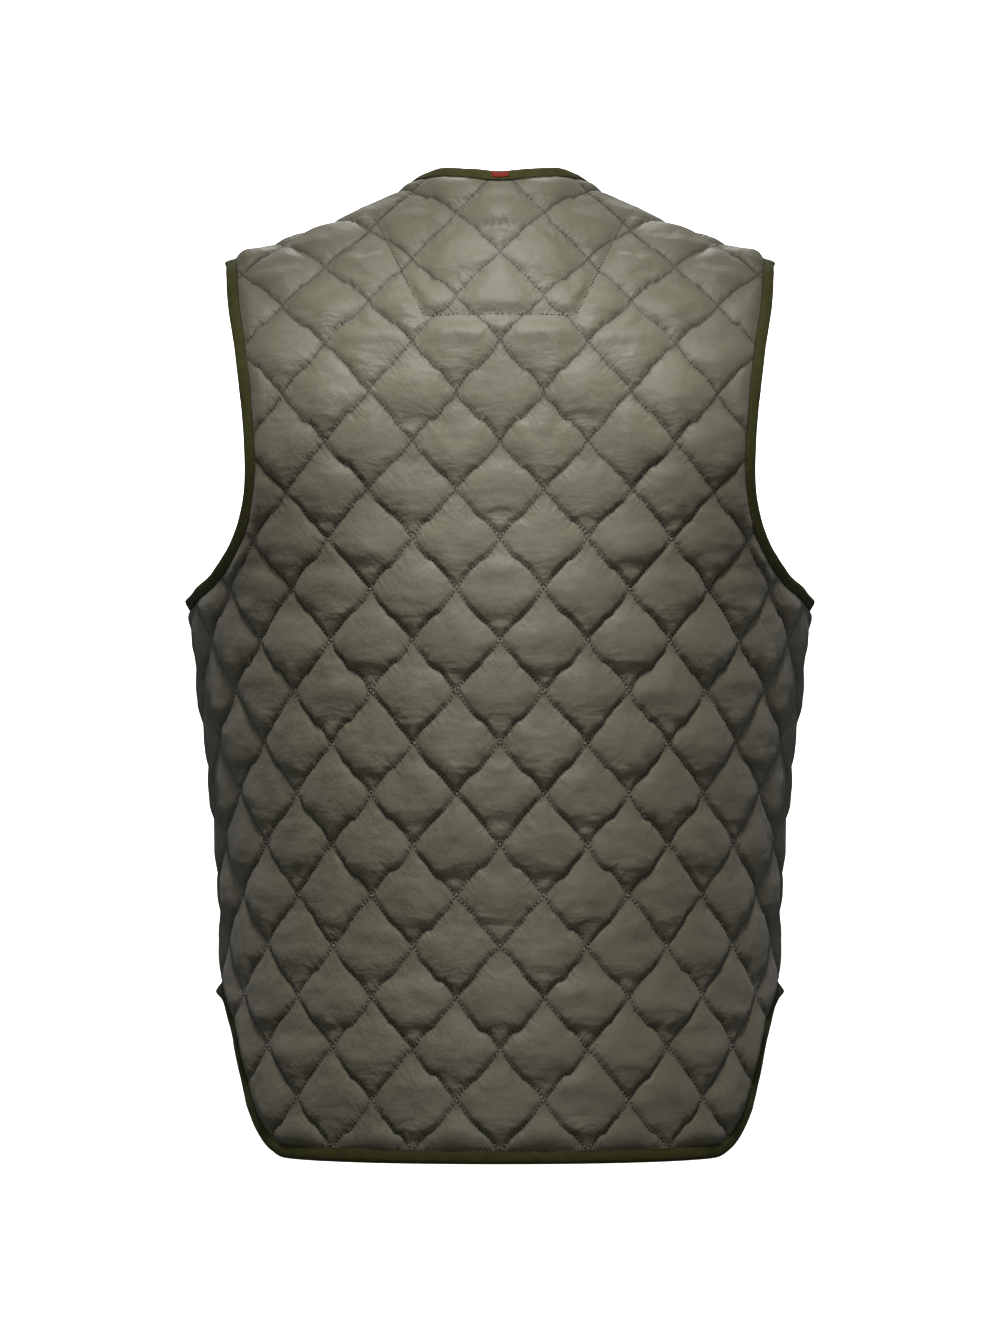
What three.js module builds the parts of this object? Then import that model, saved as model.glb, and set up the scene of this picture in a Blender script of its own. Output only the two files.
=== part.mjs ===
import * as THREE from 'three';

// A sleeveless diamond-quilted vest with a dropped tail, filled out as if worn.
// Millimetres, +Z up. The wearer faces -Y, so the wearer's left is +X. The origin lies midway
// between the middles of the two shoulders, which carry the vest.

// Quilted cloth
const WALL = 3;
const PUFF_RISE = 5;
const PUFF_ROUNDNESS = 0.5;
const DIAMOND_WIDTH = 61.6;
const DIAMOND_HEIGHT = 71.7;
const DIAMOND_STEPS = 3;
const CROSSING_HEIGHT = -448;
const EDGE_FADE = 12;

// Seams and bindings
const SEAM_GAP = 0.3;
const BINDING_GAP = 0.5;
const BINDING_WIDTH = 8;
const BINDING_PROUD = 1.2;
const BINDING_CORNER = 1.6;
const FRONT_OPENING = 2;

// Small pieces at the back neck
const TAB_WIDTH = 12;
const TAB_THICKNESS = 0.8;
const LOOP_WIDTH = 34;
const LOOP_BAND = 6;
const LOOP_THICKNESS = 1;
const LOOP_TOP = 10.6;
const LOOP_END = 1.5;
const LOOP_STEPS = 8;
const SMALL_PIECE_GAP = 0.5;

// Heights that several pieces share
const UNDERARM = -273;
const VENT_TOP = -560;
const FRONT_HEM = -575;
const COLUMN_BASE = -300;
const SHOULDER_ROLL = 170;

// The form at each height: half its width at the side seams, how far the back and the front
// stand from the line of the side seams, where that line lies, and how square the back and
// front curves are (2 is an ellipse)
const FORM = [
  { z: -700, halfWidth: 201, back: 163, front: 98, middle: 0, backSquare: 2, frontSquare: 2.2 },
  { z: -560, halfWidth: 199.5, back: 163, front: 98, middle: 0, backSquare: 2, frontSquare: 2.2 },
  { z: -515, halfWidth: 199, back: 164, front: 98, middle: 0, backSquare: 2, frontSquare: 2.2 },
  { z: -430, halfWidth: 204.5, back: 170, front: 98, middle: 0, backSquare: 2, frontSquare: 2.2 },
  { z: -345, halfWidth: 214.5, back: 176, front: 97, middle: 0, backSquare: 2, frontSquare: 2.2 },
  { z: -285, halfWidth: 222, back: 178, front: 96, middle: 1, backSquare: 2, frontSquare: 2.2 },
  { z: -230, halfWidth: 225, back: 162, front: 106, middle: 14, backSquare: 2.25, frontSquare: 2.3 },
  { z: -160, halfWidth: 226, back: 139, front: 110, middle: 32, backSquare: 2.8, frontSquare: 2.4 },
  { z: -86, halfWidth: 226, back: 119, front: 92, middle: 42, backSquare: 3.4, frontSquare: 2.6 },
  { z: -22, halfWidth: 225, back: 97, front: 58, middle: 45, backSquare: 3.4, frontSquare: 2.6 },
  { z: 28, halfWidth: 224, back: 78, front: 50, middle: 46, backSquare: 3.2, frontSquare: 2.6 },
  { z: 80, halfWidth: 222, back: 62, front: 45, middle: 46, backSquare: 3.2, frontSquare: 2.6 },
];

// The shoulder line, carried on over the neck opening as if the figure closed there
const SHOULDER = [
  { x: 0, z: 67 },
  { x: 38, z: 43.5 },
  { x: 55, z: 27 },
  { x: 86, z: 7.5 },
  { x: 120, z: -7 },
  { x: 155, z: -21 },
  { x: 195, z: -35.5 },
  { x: 230, z: -52 },
];

// The garment's edges, measured at the outside of the binding
const BACK_NECK = [
  { x: 0, z: 28.5 },
  { x: 20, z: 29.8 },
  { x: 38, z: 31 },
  { x: 48, z: 30 },
];
const NECK_POINT = 56;
const SHOULDER_POINT = 196;
const ARMHOLE = [
  { z: -62, back: 193.5, front: 189 },
  { z: -100, back: 187.5, front: 180 },
  { z: -140, back: 182.7, front: 174 },
  { z: -180, back: 180, front: 172 },
  { z: -210, back: 182, front: 176 },
  { z: -235, back: 190, front: 186 },
  { z: -253, back: 201, front: 200 },
  { z: -264, back: 211.5, front: 211.5 },
];
const FRONT_NECK = [
  { x: 55.5, z: 8 },
  { x: 48, z: -32 },
  { x: 33, z: -66 },
  { x: 12, z: -96 },
];
// Distance from the side seam along the cloth, and height
const TAIL = [
  { fromSeam: 12, z: -561.5 },
  { fromSeam: 30, z: -569 },
  { fromSeam: 48, z: -586 },
  { fromSeam: 62, z: -610 },
  { fromSeam: 76, z: -637 },
  { fromSeam: 91, z: -656 },
  { fromSeam: 109, z: -668 },
  { fromSeam: 136, z: -672 },
];
const TAIL_HEM = -672.5;
const FRONT_HEM_SWEEP = [
  { fromSeam: 9, z: -562.5 },
  { fromSeam: 24, z: -570 },
  { fromSeam: 44, z: -574 },
];
const FRONT_CORNER = 26;

// Sampling of the form and of the edges
const RING_STEPS = 96;
const RING_SPACING = 10;
const COLUMN_STEPS = 64;
const COLUMN_SPACING = 6;
const PATH_STEP = 5;
const PATH_RUNOUT = 70;
const TANGENT_STEP = 0.5;
const SNAP = 2.4;
const SETTLE_ROUNDS = 6;
const BISECTIONS = 14;

function smoothTable(rows, key, column) {
  // A curve through a table's rows that never overshoots between two rows
  const count = rows.length;
  const slopes = [];
  for (let i = 0; i < count - 1; i += 1) {
    slopes.push((rows[i + 1][column] - rows[i][column]) / (rows[i + 1][key] - rows[i][key]));
  }
  const tangents = rows.map((row, i) => {
    if (i === 0) return slopes[0];
    if (i === count - 1) return slopes[count - 2];
    if (slopes[i - 1] * slopes[i] <= 0) return 0;
    return 2 / (1 / slopes[i - 1] + 1 / slopes[i]);
  });
  return (value) => {
    const inside = Math.min(Math.max(value, rows[0][key]), rows[count - 1][key]);
    let i = 0;
    while (i < count - 2 && inside > rows[i + 1][key]) i += 1;
    const span = rows[i + 1][key] - rows[i][key];
    const t = (inside - rows[i][key]) / span;
    const rise = t * t * (3 - 2 * t);
    const bendStart = t * (1 - t) * (1 - t) * span * tangents[i];
    const bendEnd = t * t * (t - 1) * span * tangents[i + 1];
    return rows[i][column] * (1 - rise) + rows[i + 1][column] * rise + bendStart + bendEnd;
  };
}

const halfWidthAt = smoothTable(FORM, 'z', 'halfWidth');
const middleAt = smoothTable(FORM, 'z', 'middle');
const shoulderAt = smoothTable(SHOULDER, 'x', 'z');
const backNeckAt = smoothTable(BACK_NECK, 'x', 'z');

function mix(a, b, share) {
  return a + (b - a) * share;
}

function bracket(valueAt, count, target) {
  // The step of a rising list that holds the target, and how far along it
  let low = 0;
  let high = count - 1;
  while (high - low > 1) {
    const middle = (low + high) >> 1;
    if (valueAt(middle) <= target) low = middle;
    else high = middle;
  }
  const share = (target - valueAt(low)) / (valueAt(high) - valueAt(low));
  return { low, share: Math.min(Math.max(share, 0), 1) };
}

function rollOver(drop) {
  // How far the cloth has come round the shoulder, from 0 on its line to 1 below the roll
  if (drop >= SHOULDER_ROLL) return 1;
  const lean = 1 - Math.max(drop, 0) / SHOULDER_ROLL;
  return Math.sqrt(1 - lean * lean);
}

class Chart {
  // Lays flat cloth on one half of the form. u runs along the cloth from the centre to the
  // side seam, and v runs up it. Below COLUMN_BASE v is the height itself.
  constructor(half) {
    this.side = half === 'back' ? 1 : -1;
    this.depthAt = smoothTable(FORM, 'z', half);
    this.squareAt = smoothTable(FORM, 'z', `${half}Square`);
    this.lowest = FORM[0].z;
    this.rings = [];
    for (let z = this.lowest; z <= FORM[FORM.length - 1].z; z += RING_SPACING) {
      this.rings.push(this.measureRing(z));
    }
    this.columns = [];
    for (let x = 0; x <= SHOULDER[SHOULDER.length - 1].x; x += COLUMN_SPACING) {
      this.columns.push(this.measureColumn(x));
    }
  }

  measureRing(z) {
    const width = halfWidthAt(z);
    const depth = this.depthAt(z);
    const power = 2 / this.squareAt(z);
    const ring = { length: [0], x: [0], lean: [1] };
    for (let i = 1; i <= RING_STEPS; i += 1) {
      const angle = (i / RING_STEPS) * Math.PI / 2;
      const x = width * Math.sin(angle) ** power;
      const lean = Math.max(Math.cos(angle), 0) ** power;
      const step = Math.hypot(x - ring.x[i - 1], depth * (lean - ring.lean[i - 1]));
      ring.length.push(ring.length[i - 1] + step);
      ring.x.push(x);
      ring.lean.push(lean);
    }
    return ring;
  }

  measureColumn(x) {
    // Cloth height at equal steps of reach, where the drop below the shoulder is reach squared
    const top = shoulderAt(x);
    const lengths = [COLUMN_BASE];
    let before = null;
    for (let i = 0; i <= COLUMN_STEPS; i += 1) {
      const reach = 1 - i / COLUMN_STEPS;
      const drop = (top - COLUMN_BASE) * reach * reach;
      const z = top - drop;
      const share = Math.min(x / halfWidthAt(z), 1) ** this.squareAt(z);
      const lean = (1 - share) ** (1 / this.squareAt(z));
      const y = this.side * middleAt(z) + this.depthAt(z) * lean * rollOver(drop);
      if (before) lengths.push(lengths[i - 1] + Math.hypot(y - before.y, z - before.z));
      before = { y, z };
    }
    return lengths;
  }

  ringPair(z) {
    const place = (z - this.lowest) / RING_SPACING;
    const index = Math.min(Math.max(Math.floor(place), 0), this.rings.length - 2);
    return { a: this.rings[index], b: this.rings[index + 1], share: place - index };
  }

  acrossAt(u, z) {
    const { a, b, share } = this.ringPair(z);
    const read = (ring) => {
      const step = bracket((i) => ring.length[i], ring.length.length, u);
      return {
        x: mix(ring.x[step.low], ring.x[step.low + 1], step.share),
        lean: mix(ring.lean[step.low], ring.lean[step.low + 1], step.share),
      };
    };
    const first = read(a);
    const second = read(b);
    return { x: mix(first.x, second.x, share), lean: mix(first.lean, second.lean, share) };
  }

  seamAt(z) {
    const { a, b, share } = this.ringPair(z);
    return mix(a.length[RING_STEPS], b.length[RING_STEPS], share);
  }

  columnAt(x) {
    const place = x / COLUMN_SPACING;
    const index = Math.min(Math.floor(place), this.columns.length - 2);
    const a = this.columns[index];
    const b = this.columns[index + 1];
    return (i) => mix(a[i], b[i], place - index);
  }

  heightAt(x, v) {
    const top = shoulderAt(x);
    if (v <= COLUMN_BASE) return { z: v, drop: top - v };
    const step = bracket(this.columnAt(x), COLUMN_STEPS + 1, v);
    const reach = 1 - (step.low + step.share) / COLUMN_STEPS;
    const drop = (top - COLUMN_BASE) * reach * reach;
    return { z: top - drop, drop };
  }

  // The cloth coordinates of a place given by its distance from the centre and its height
  flatten(x, z) {
    const { a, b, share } = this.ringPair(z);
    const read = (ring) => {
      const step = bracket((i) => ring.x[i], ring.x.length, x);
      return mix(ring.length[step.low], ring.length[step.low + 1], step.share);
    };
    const u = mix(read(a), read(b), share);
    if (z <= COLUMN_BASE) return [u, z];
    const top = shoulderAt(x);
    const reach = Math.sqrt(Math.max(top - z, 0) / (top - COLUMN_BASE));
    const place = (1 - reach) * COLUMN_STEPS;
    const low = Math.min(Math.floor(place), COLUMN_STEPS - 1);
    const lengthAt = this.columnAt(x);
    return [u, mix(lengthAt(low), lengthAt(low + 1), place - low)];
  }

  place(u, v) {
    const outward = Math.abs(u);
    let height = { z: Math.min(v, 0), drop: 0 };
    let across = this.acrossAt(outward, height.z);
    for (let round = 0; round < SETTLE_ROUNDS; round += 1) {
      height = this.heightAt(across.x, v);
      across = this.acrossAt(outward, height.z);
    }
    const reach = this.depthAt(height.z) * across.lean * rollOver(height.drop);
    const x = u < 0 ? -across.x : across.x;
    return new THREE.Vector3(x, middleAt(height.z) + this.side * reach, height.z);
  }

  // Where a point of the cloth lies, which way the cloth faces, and its two directions.
  // The steps are taken towards the centre and down, where there is cloth.
  frame(u, v) {
    const inward = u < 0 ? -TANGENT_STEP : TANGENT_STEP;
    const point = this.place(u, v);
    const along = point.clone().sub(this.place(u - inward, v)).divideScalar(inward);
    const up = point.clone().sub(this.place(u, v - TANGENT_STEP)).divideScalar(TANGENT_STEP);
    const normal = along.clone().cross(up).multiplyScalar(-this.side).normalize();
    return { point, normal, along, up };
  }
}

const backChart = new Chart('back');
const frontChart = new Chart('front');

function spline(points) {
  const curve = new THREE.SplineCurve(points.map(([u, v]) => new THREE.Vector2(u, v)));
  const steps = Math.ceil(curve.getLength() / PATH_STEP);
  return curve.getSpacedPoints(steps).map((point) => [point.x, point.y]);
}

function makeEdge(name, path, inset) {
  // An edge of a flat pattern piece, with cloth on its left, run out straight at both ends
  const runOut = (end, inner) => {
    const length = Math.hypot(end[0] - inner[0], end[1] - inner[1]);
    const scale = PATH_RUNOUT / length;
    return [end[0] + (end[0] - inner[0]) * scale, end[1] + (end[1] - inner[1]) * scale];
  };
  const last = path.length - 1;
  const points = [runOut(path[0], path[1]), ...path, runOut(path[last], path[last - 1])];
  return { name, points, inset };
}

function measureToEdge(edge, u, v) {
  // Distance inside the edge's cut line, the way out of the cloth, and the place along it
  let best = null;
  let along = 0;
  for (let i = 0; i < edge.points.length - 1; i += 1) {
    const [startU, startV] = edge.points[i];
    const stepU = edge.points[i + 1][0] - startU;
    const stepV = edge.points[i + 1][1] - startV;
    const length = Math.hypot(stepU, stepV);
    const dot = ((u - startU) * stepU + (v - startV) * stepV) / (length * length);
    const share = Math.min(Math.max(dot, 0), 1);
    const gapU = u - startU - stepU * share;
    const gapV = v - startV - stepV * share;
    const distance = Math.hypot(gapU, gapV);
    if (!best || distance < best.distance) {
      const inside = stepU * gapV - stepV * gapU >= 0 ? 1 : -1;
      const out = [stepV / length, -stepU / length];
      best = { distance, inside, out, along: along + share * length };
    }
    along += length;
  }
  return { depth: best.inside * best.distance - edge.inset, out: best.out, along: best.along };
}

function mirrorPath(path) {
  return path.map(([u, v]) => [-u, v]).reverse();
}

function layLattice(bounds) {
  // Small triangles whose sides follow the quilting lines
  const vertices = [];
  const triangles = [];
  const index = new Map();
  const vertexAt = (i, j) => {
    const key = `${i},${j}`;
    if (!index.has(key)) {
      const u = (i + j) / (2 * DIAMOND_STEPS) * DIAMOND_WIDTH;
      const v = CROSSING_HEIGHT + (i - j) / (2 * DIAMOND_STEPS) * DIAMOND_HEIGHT;
      index.set(key, vertices.length);
      vertices.push({ u, v, on: new Set() });
    }
    return index.get(key);
  };
  const half = DIAMOND_STEPS * 2;
  const sumLow = Math.floor(bounds.left / DIAMOND_WIDTH * half);
  const sumHigh = Math.ceil(bounds.right / DIAMOND_WIDTH * half);
  const differenceLow = Math.floor((bounds.bottom - CROSSING_HEIGHT) / DIAMOND_HEIGHT * half);
  const differenceHigh = Math.ceil((bounds.top - CROSSING_HEIGHT) / DIAMOND_HEIGHT * half);
  for (let sum = sumLow; sum <= sumHigh; sum += 1) {
    for (let difference = differenceLow; difference <= differenceHigh; difference += 1) {
      if ((sum + difference) % 2 !== 0) continue;
      const i = (sum + difference) / 2;
      const j = (sum - difference) / 2;
      const [low, right, left, high] = [[i, j], [i + 1, j], [i, j + 1], [i + 1, j + 1]];
      triangles.push([vertexAt(...low), vertexAt(...left), vertexAt(...right)]);
      triangles.push([vertexAt(...high), vertexAt(...right), vertexAt(...left)]);
    }
  }
  return { vertices, triangles };
}

function snapToEdge(vertices, edge) {
  // Moves points that almost touch the cut line onto it, so that no sliver is left there
  for (const vertex of vertices) {
    const measured = measureToEdge(edge, vertex.u, vertex.v);
    vertex.depth = measured.depth;
    if (Math.abs(measured.depth) < SNAP && vertex.on.size === 0) {
      vertex.u += measured.out[0] * measured.depth;
      vertex.v += measured.out[1] * measured.depth;
      vertex.depth = 0;
      vertex.on.add(edge.name);
    }
  }
}

function findCut(edge, inner, outer) {
  // The point between two vertices where the cut line passes
  let [low, high] = [0, 1];
  for (let i = 0; i < BISECTIONS; i += 1) {
    const middle = (low + high) / 2;
    const u = mix(inner.u, outer.u, middle);
    const v = mix(inner.v, outer.v, middle);
    if (measureToEdge(edge, u, v).depth > 0) low = middle;
    else high = middle;
  }
  const on = new Set([...inner.on].filter((name) => outer.on.has(name)));
  on.add(edge.name);
  return { u: mix(inner.u, outer.u, low), v: mix(inner.v, outer.v, low), on, depth: 0 };
}

function cutByEdge({ vertices, triangles }, edge) {
  snapToEdge(vertices, edge);
  const cuts = new Map();
  const cutBetween = (a, b) => {
    const key = a < b ? `${a},${b}` : `${b},${a}`;
    if (!cuts.has(key)) {
      const [inner, outer] = vertices[a].depth > 0 ? [a, b] : [b, a];
      cuts.set(key, vertices.length);
      vertices.push(findCut(edge, vertices[inner], vertices[outer]));
    }
    return cuts.get(key);
  };
  const kept = [];
  for (const triangle of triangles) {
    const polygon = [];
    for (let corner = 0; corner < 3; corner += 1) {
      const a = triangle[corner];
      const b = triangle[(corner + 1) % 3];
      if (vertices[a].depth >= 0) polygon.push(a);
      if (vertices[a].depth * vertices[b].depth < 0) polygon.push(cutBetween(a, b));
    }
    const touches = polygon.every((corner) => vertices[corner].depth === 0);
    if (polygon.length < 3 || touches) continue;
    kept.push(...splitPolygon(polygon, vertices));
  }
  return { vertices, triangles: kept };
}

function splitPolygon(polygon, vertices) {
  if (polygon.length === 3) return [polygon];
  const [a, b, c, d] = polygon;
  const across = (p, q) => Math.hypot(
    vertices[p].u - vertices[q].u,
    vertices[p].v - vertices[q].v,
  );
  if (across(a, c) <= across(b, d)) return [[a, b, c], [a, c, d]];
  return [[a, b, d], [b, c, d]];
}

function cutPanel(chart, bounds, edges) {
  let cloth = layLattice(bounds);
  for (const edge of edges) {
    cloth = cutByEdge(cloth, edge);
  }
  return { chart, edges, ...cloth };
}

function puffHeight(panel, u, v) {
  // Padding rises between the quilting lines and is pressed flat along every edge
  const across = u / DIAMOND_WIDTH;
  const up = (v - CROSSING_HEIGHT) / DIAMOND_HEIGHT;
  const dome = [across + up, across - up].map((line) => {
    const fromMiddle = 2 * (line - Math.floor(line)) - 1;
    return Math.max(1 - fromMiddle * fromMiddle, 0) ** PUFF_ROUNDNESS;
  });
  const inside = Math.min(...panel.edges.map((edge) => measureToEdge(edge, u, v).depth));
  const share = Math.min(Math.max(inside / EDGE_FADE, 0), 1);
  return PUFF_RISE * dome[0] * dome[1] * share * (2 - share);
}

function solidFromFaces(points, faces) {
  const geometry = new THREE.BufferGeometry();
  const positions = points.flatMap((point) => [point.x, point.y, point.z]);
  geometry.setAttribute('position', new THREE.Float32BufferAttribute(positions, 3));
  geometry.setIndex(faces.flat());
  geometry.computeVertexNormals();
  return geometry;
}

function padPanel(panel) {
  // Raises the puffs on the outside, keeps the inside plain, and closes the cut edges
  const used = [...new Set(panel.triangles.flat())];
  const order = new Map(used.map((vertex, position) => [vertex, position]));
  const outside = [];
  const inside = [];
  for (const vertex of used) {
    const { u, v } = panel.vertices[vertex];
    const { point, normal } = panel.chart.frame(u, v);
    outside.push(point.clone().addScaledVector(normal, puffHeight(panel, u, v)));
    inside.push(point.clone().addScaledVector(normal, -WALL));
  }
  const faces = [];
  const open = new Map();
  for (const triangle of panel.triangles) {
    const turned = panel.chart.side < 0 ? triangle : [...triangle].reverse();
    const [a, b, c] = turned.map((vertex) => order.get(vertex));
    faces.push([a, b, c]);
    faces.push([c, b, a].map((corner) => corner + used.length));
    for (const [start, end] of [[a, b], [b, c], [c, a]]) {
      if (open.has(`${end},${start}`)) open.delete(`${end},${start}`);
      else open.set(`${start},${end}`, [start, end]);
    }
  }
  for (const [start, end] of open.values()) {
    faces.push([end, start, start + used.length]);
    faces.push([end, start + used.length, end + used.length]);
  }
  return solidFromFaces([...outside, ...inside], faces);
}

function stationsAlong(panel, edgeName) {
  // Where a binding is sewn on: each point of the panel's cut edge, with the way out of the
  // cloth and the way the cloth faces
  const edge = panel.edges.find(({ name }) => name === edgeName);
  const used = new Set(panel.triangles.flat());
  const stations = [];
  for (const index of used) {
    const vertex = panel.vertices[index];
    if (!vertex.on.has(edgeName)) continue;
    const measured = measureToEdge(edge, vertex.u, vertex.v);
    const { point, normal, along, up } = panel.chart.frame(vertex.u, vertex.v);
    const out = along.multiplyScalar(measured.out[0]).addScaledVector(up, measured.out[1]);
    stations.push({ at: measured.along, point, normal, out: out.normalize() });
  }
  return stations.sort((a, b) => a.at - b.at);
}

function alignEnds(first, second) {
  // Two bindings that meet at a seam share one direction there, so their ends lie parallel
  const out = first.out.clone().add(second.out).normalize();
  const normal = first.normal.clone().add(second.normal).normalize();
  for (const station of [first, second]) {
    station.out = out.clone();
    station.normal = normal.clone();
  }
}

function joinEnds(first, second) {
  alignEnds(first, second);
  const point = first.point.clone().add(second.point).multiplyScalar(0.5);
  return { point, out: first.out.clone(), normal: first.normal.clone() };
}

function bindingSection() {
  const top = BINDING_PROUD;
  const bottom = -WALL - BINDING_PROUD;
  const start = BINDING_GAP;
  const end = BINDING_GAP + BINDING_WIDTH;
  return [
    [start, bottom],
    [end - BINDING_CORNER, bottom],
    [end, bottom + BINDING_CORNER],
    [end, top - BINDING_CORNER],
    [end - BINDING_CORNER, top],
    [start, top],
  ];
}

function sweepSection(stations, section, closed) {
  // A solid strip whose section follows the stations; each section point is its distance out
  // of the cloth's edge and its height above the cloth
  const points = [];
  for (const { point, out, normal } of stations) {
    for (const [beyond, above] of section) {
      points.push(point.clone().addScaledVector(out, beyond).addScaledVector(normal, above));
    }
  }
  const corners = section.length;
  const faces = [];
  const spans = closed ? stations.length : stations.length - 1;
  for (let i = 0; i < spans; i += 1) {
    const here = i * corners;
    const next = ((i + 1) % stations.length) * corners;
    for (let j = 0; j < corners; j += 1) {
      const k = (j + 1) % corners;
      faces.push([here + j, next + j, next + k]);
      faces.push([here + j, next + k, here + k]);
    }
  }
  if (!closed) {
    const far = (stations.length - 1) * corners;
    for (let j = 1; j < corners - 1; j += 1) {
      faces.push([0, j, j + 1]);
      faces.push([far, far + j + 1, far + j]);
    }
  }
  const geometry = solidFromFaces(points, faces);
  return signedVolume(geometry) < 0 ? turnInsideOut(geometry) : geometry;
}

function signedVolume(geometry) {
  const position = geometry.getAttribute('position');
  const corners = [0, 1, 2].map(() => new THREE.Vector3());
  let volume = 0;
  for (let i = 0; i < geometry.index.count; i += 3) {
    corners.forEach((corner, j) => corner.fromBufferAttribute(position, geometry.index.getX(i + j)));
    volume += corners[0].dot(corners[1].clone().cross(corners[2]));
  }
  return volume;
}

function turnInsideOut(geometry) {
  const index = [...geometry.index.array];
  for (let i = 0; i < index.length; i += 3) {
    [index[i], index[i + 1]] = [index[i + 1], index[i]];
  }
  geometry.setIndex(index);
  geometry.computeVertexNormals();
  return geometry;
}

function mirrored(geometry) {
  const copy = geometry.clone();
  const position = copy.getAttribute('position');
  for (let i = 0; i < position.count; i += 1) {
    position.setX(i, -position.getX(i));
  }
  return turnInsideOut(copy);
}

// The pattern pieces

function armholePath(chart, half) {
  const rows = ARMHOLE.map((row) => chart.flatten(row[half], row.z));
  const top = chart.flatten(SHOULDER_POINT, shoulderAt(SHOULDER_POINT));
  return spline([top, ...rows, [chart.seamAt(UNDERARM), UNDERARM]]);
}

function shoulderPath(chart) {
  const points = [];
  for (let x = NECK_POINT - PATH_STEP; x <= SHOULDER_POINT + PATH_STEP; x += PATH_STEP) {
    points.push(chart.flatten(x, shoulderAt(x)));
  }
  return points;
}

function sidePath(chart) {
  const points = [];
  for (let z = UNDERARM; z >= VENT_TOP; z -= PATH_STEP) {
    points.push([chart.seamAt(z), z]);
  }
  return points;
}

function backNeckPath() {
  const right = BACK_NECK.map(({ x, z }) => backChart.flatten(x, z));
  const end = backChart.flatten(NECK_POINT, shoulderAt(NECK_POINT));
  const half = [...right, end];
  return spline([...mirrorPath(half.slice(1)), ...half]);
}

function tailPath() {
  const seam = [backChart.seamAt(VENT_TOP), VENT_TOP];
  const half = TAIL.map(({ fromSeam, z }) => [backChart.seamAt(z) - fromSeam, z]);
  const right = [seam, ...half];
  return spline([...right, [0, TAIL_HEM], ...mirrorPath(right)]);
}

function frontEdgePath() {
  // From the shoulder down the neck, down the centre and round the corner to the side seam
  const neck = FRONT_NECK.map(({ x, z }) => frontChart.flatten(x, z));
  const start = frontChart.flatten(NECK_POINT, shoulderAt(NECK_POINT));
  const centre = FRONT_OPENING / 2;
  const neckEnd = neck[neck.length - 1][1];
  const straight = [neckEnd - 18, neckEnd - 60, (neckEnd + FRONT_HEM) / 2];
  const down = [...straight, FRONT_HEM + FRONT_CORNER * 2, FRONT_HEM + FRONT_CORNER];
  const diagonal = FRONT_CORNER * (1 - Math.SQRT1_2);
  const corner = [centre + diagonal, FRONT_HEM + diagonal];
  const sweep = FRONT_HEM_SWEEP.map(({ fromSeam, z }) => [frontChart.seamAt(z) - fromSeam, z]);
  return spline([
    start,
    ...neck,
    ...down.map((v) => [centre, v]),
    corner,
    [centre + FRONT_CORNER, FRONT_HEM],
    [centre + FRONT_CORNER * 3, FRONT_HEM],
    ...sweep.reverse(),
    [frontChart.seamAt(VENT_TOP), VENT_TOP],
  ]);
}

const CLOTH_BOUNDS = { left: -345, right: 345, bottom: -705, top: 130 };

function makeBack() {
  const seam = SEAM_GAP / 2;
  const bound = BINDING_WIDTH + BINDING_GAP;
  const armhole = armholePath(backChart, 'back');
  const shoulder = shoulderPath(backChart);
  const side = sidePath(backChart);
  return cutPanel(backChart, CLOTH_BOUNDS, [
    makeEdge('side_left', [...side].reverse(), seam),
    makeEdge('side_right', mirrorPath([...side].reverse()), seam),
    makeEdge('shoulder_left', [...shoulder].reverse(), seam),
    makeEdge('shoulder_right', mirrorPath([...shoulder].reverse()), seam),
    makeEdge('armhole_left', [...armhole].reverse(), bound),
    makeEdge('armhole_right', mirrorPath([...armhole].reverse()), bound),
    makeEdge('neck', [...backNeckPath()].reverse(), bound),
    makeEdge('tail', [...tailPath()].reverse(), bound),
  ]);
}

function makeFront() {
  const seam = SEAM_GAP / 2;
  const bound = BINDING_WIDTH + BINDING_GAP;
  const bounds = { ...CLOTH_BOUNDS, left: -20 };
  return cutPanel(frontChart, bounds, [
    makeEdge('side', [...sidePath(frontChart)].reverse(), seam),
    makeEdge('shoulder', [...shoulderPath(frontChart)].reverse(), seam),
    makeEdge('armhole', [...armholePath(frontChart, 'front')].reverse(), bound),
    makeEdge('front_edge', frontEdgePath(), bound),
  ]);
}

// Bindings

function makeArmholeBinding(back, front) {
  const behind = stationsAlong(back, 'armhole_left');
  const before = stationsAlong(front, 'armhole').reverse();
  const top = joinEnds(behind[behind.length - 1], before[0]);
  const bottom = joinEnds(before[before.length - 1], behind[0]);
  const ring = [...behind.slice(1, -1), top, ...before.slice(1, -1), bottom];
  return sweepSection(ring, bindingSection(), true);
}

function makeEdgeBindings(back, front) {
  const neck = stationsAlong(back, 'neck');
  const tail = stationsAlong(back, 'tail');
  const frontEdge = stationsAlong(front, 'front_edge');
  const neckEnd = neck[0].point.x > 0 ? neck[0] : neck[neck.length - 1];
  const tailEnd = tail[0].point.x > 0 ? tail[0] : tail[tail.length - 1];
  alignEnds(neckEnd, frontEdge[0]);
  alignEnds(tailEnd, frontEdge[frontEdge.length - 1]);
  mirrorEnd(neck, neckEnd);
  mirrorEnd(tail, tailEnd);
  return {
    neck: sweepSection(neck, bindingSection(), false),
    tail: sweepSection(tail, bindingSection(), false),
    front: sweepSection(frontEdge, bindingSection(), false),
  };
}

function mirrorEnd(stations, end) {
  const other = stations[0] === end ? stations[stations.length - 1] : stations[0];
  const flip = new THREE.Vector3(-1, 1, 1);
  other.point = end.point.clone().multiply(flip);
  other.out = end.out.clone().multiply(flip);
  other.normal = end.normal.clone().multiply(flip);
}

// Small pieces on the back neck

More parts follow.
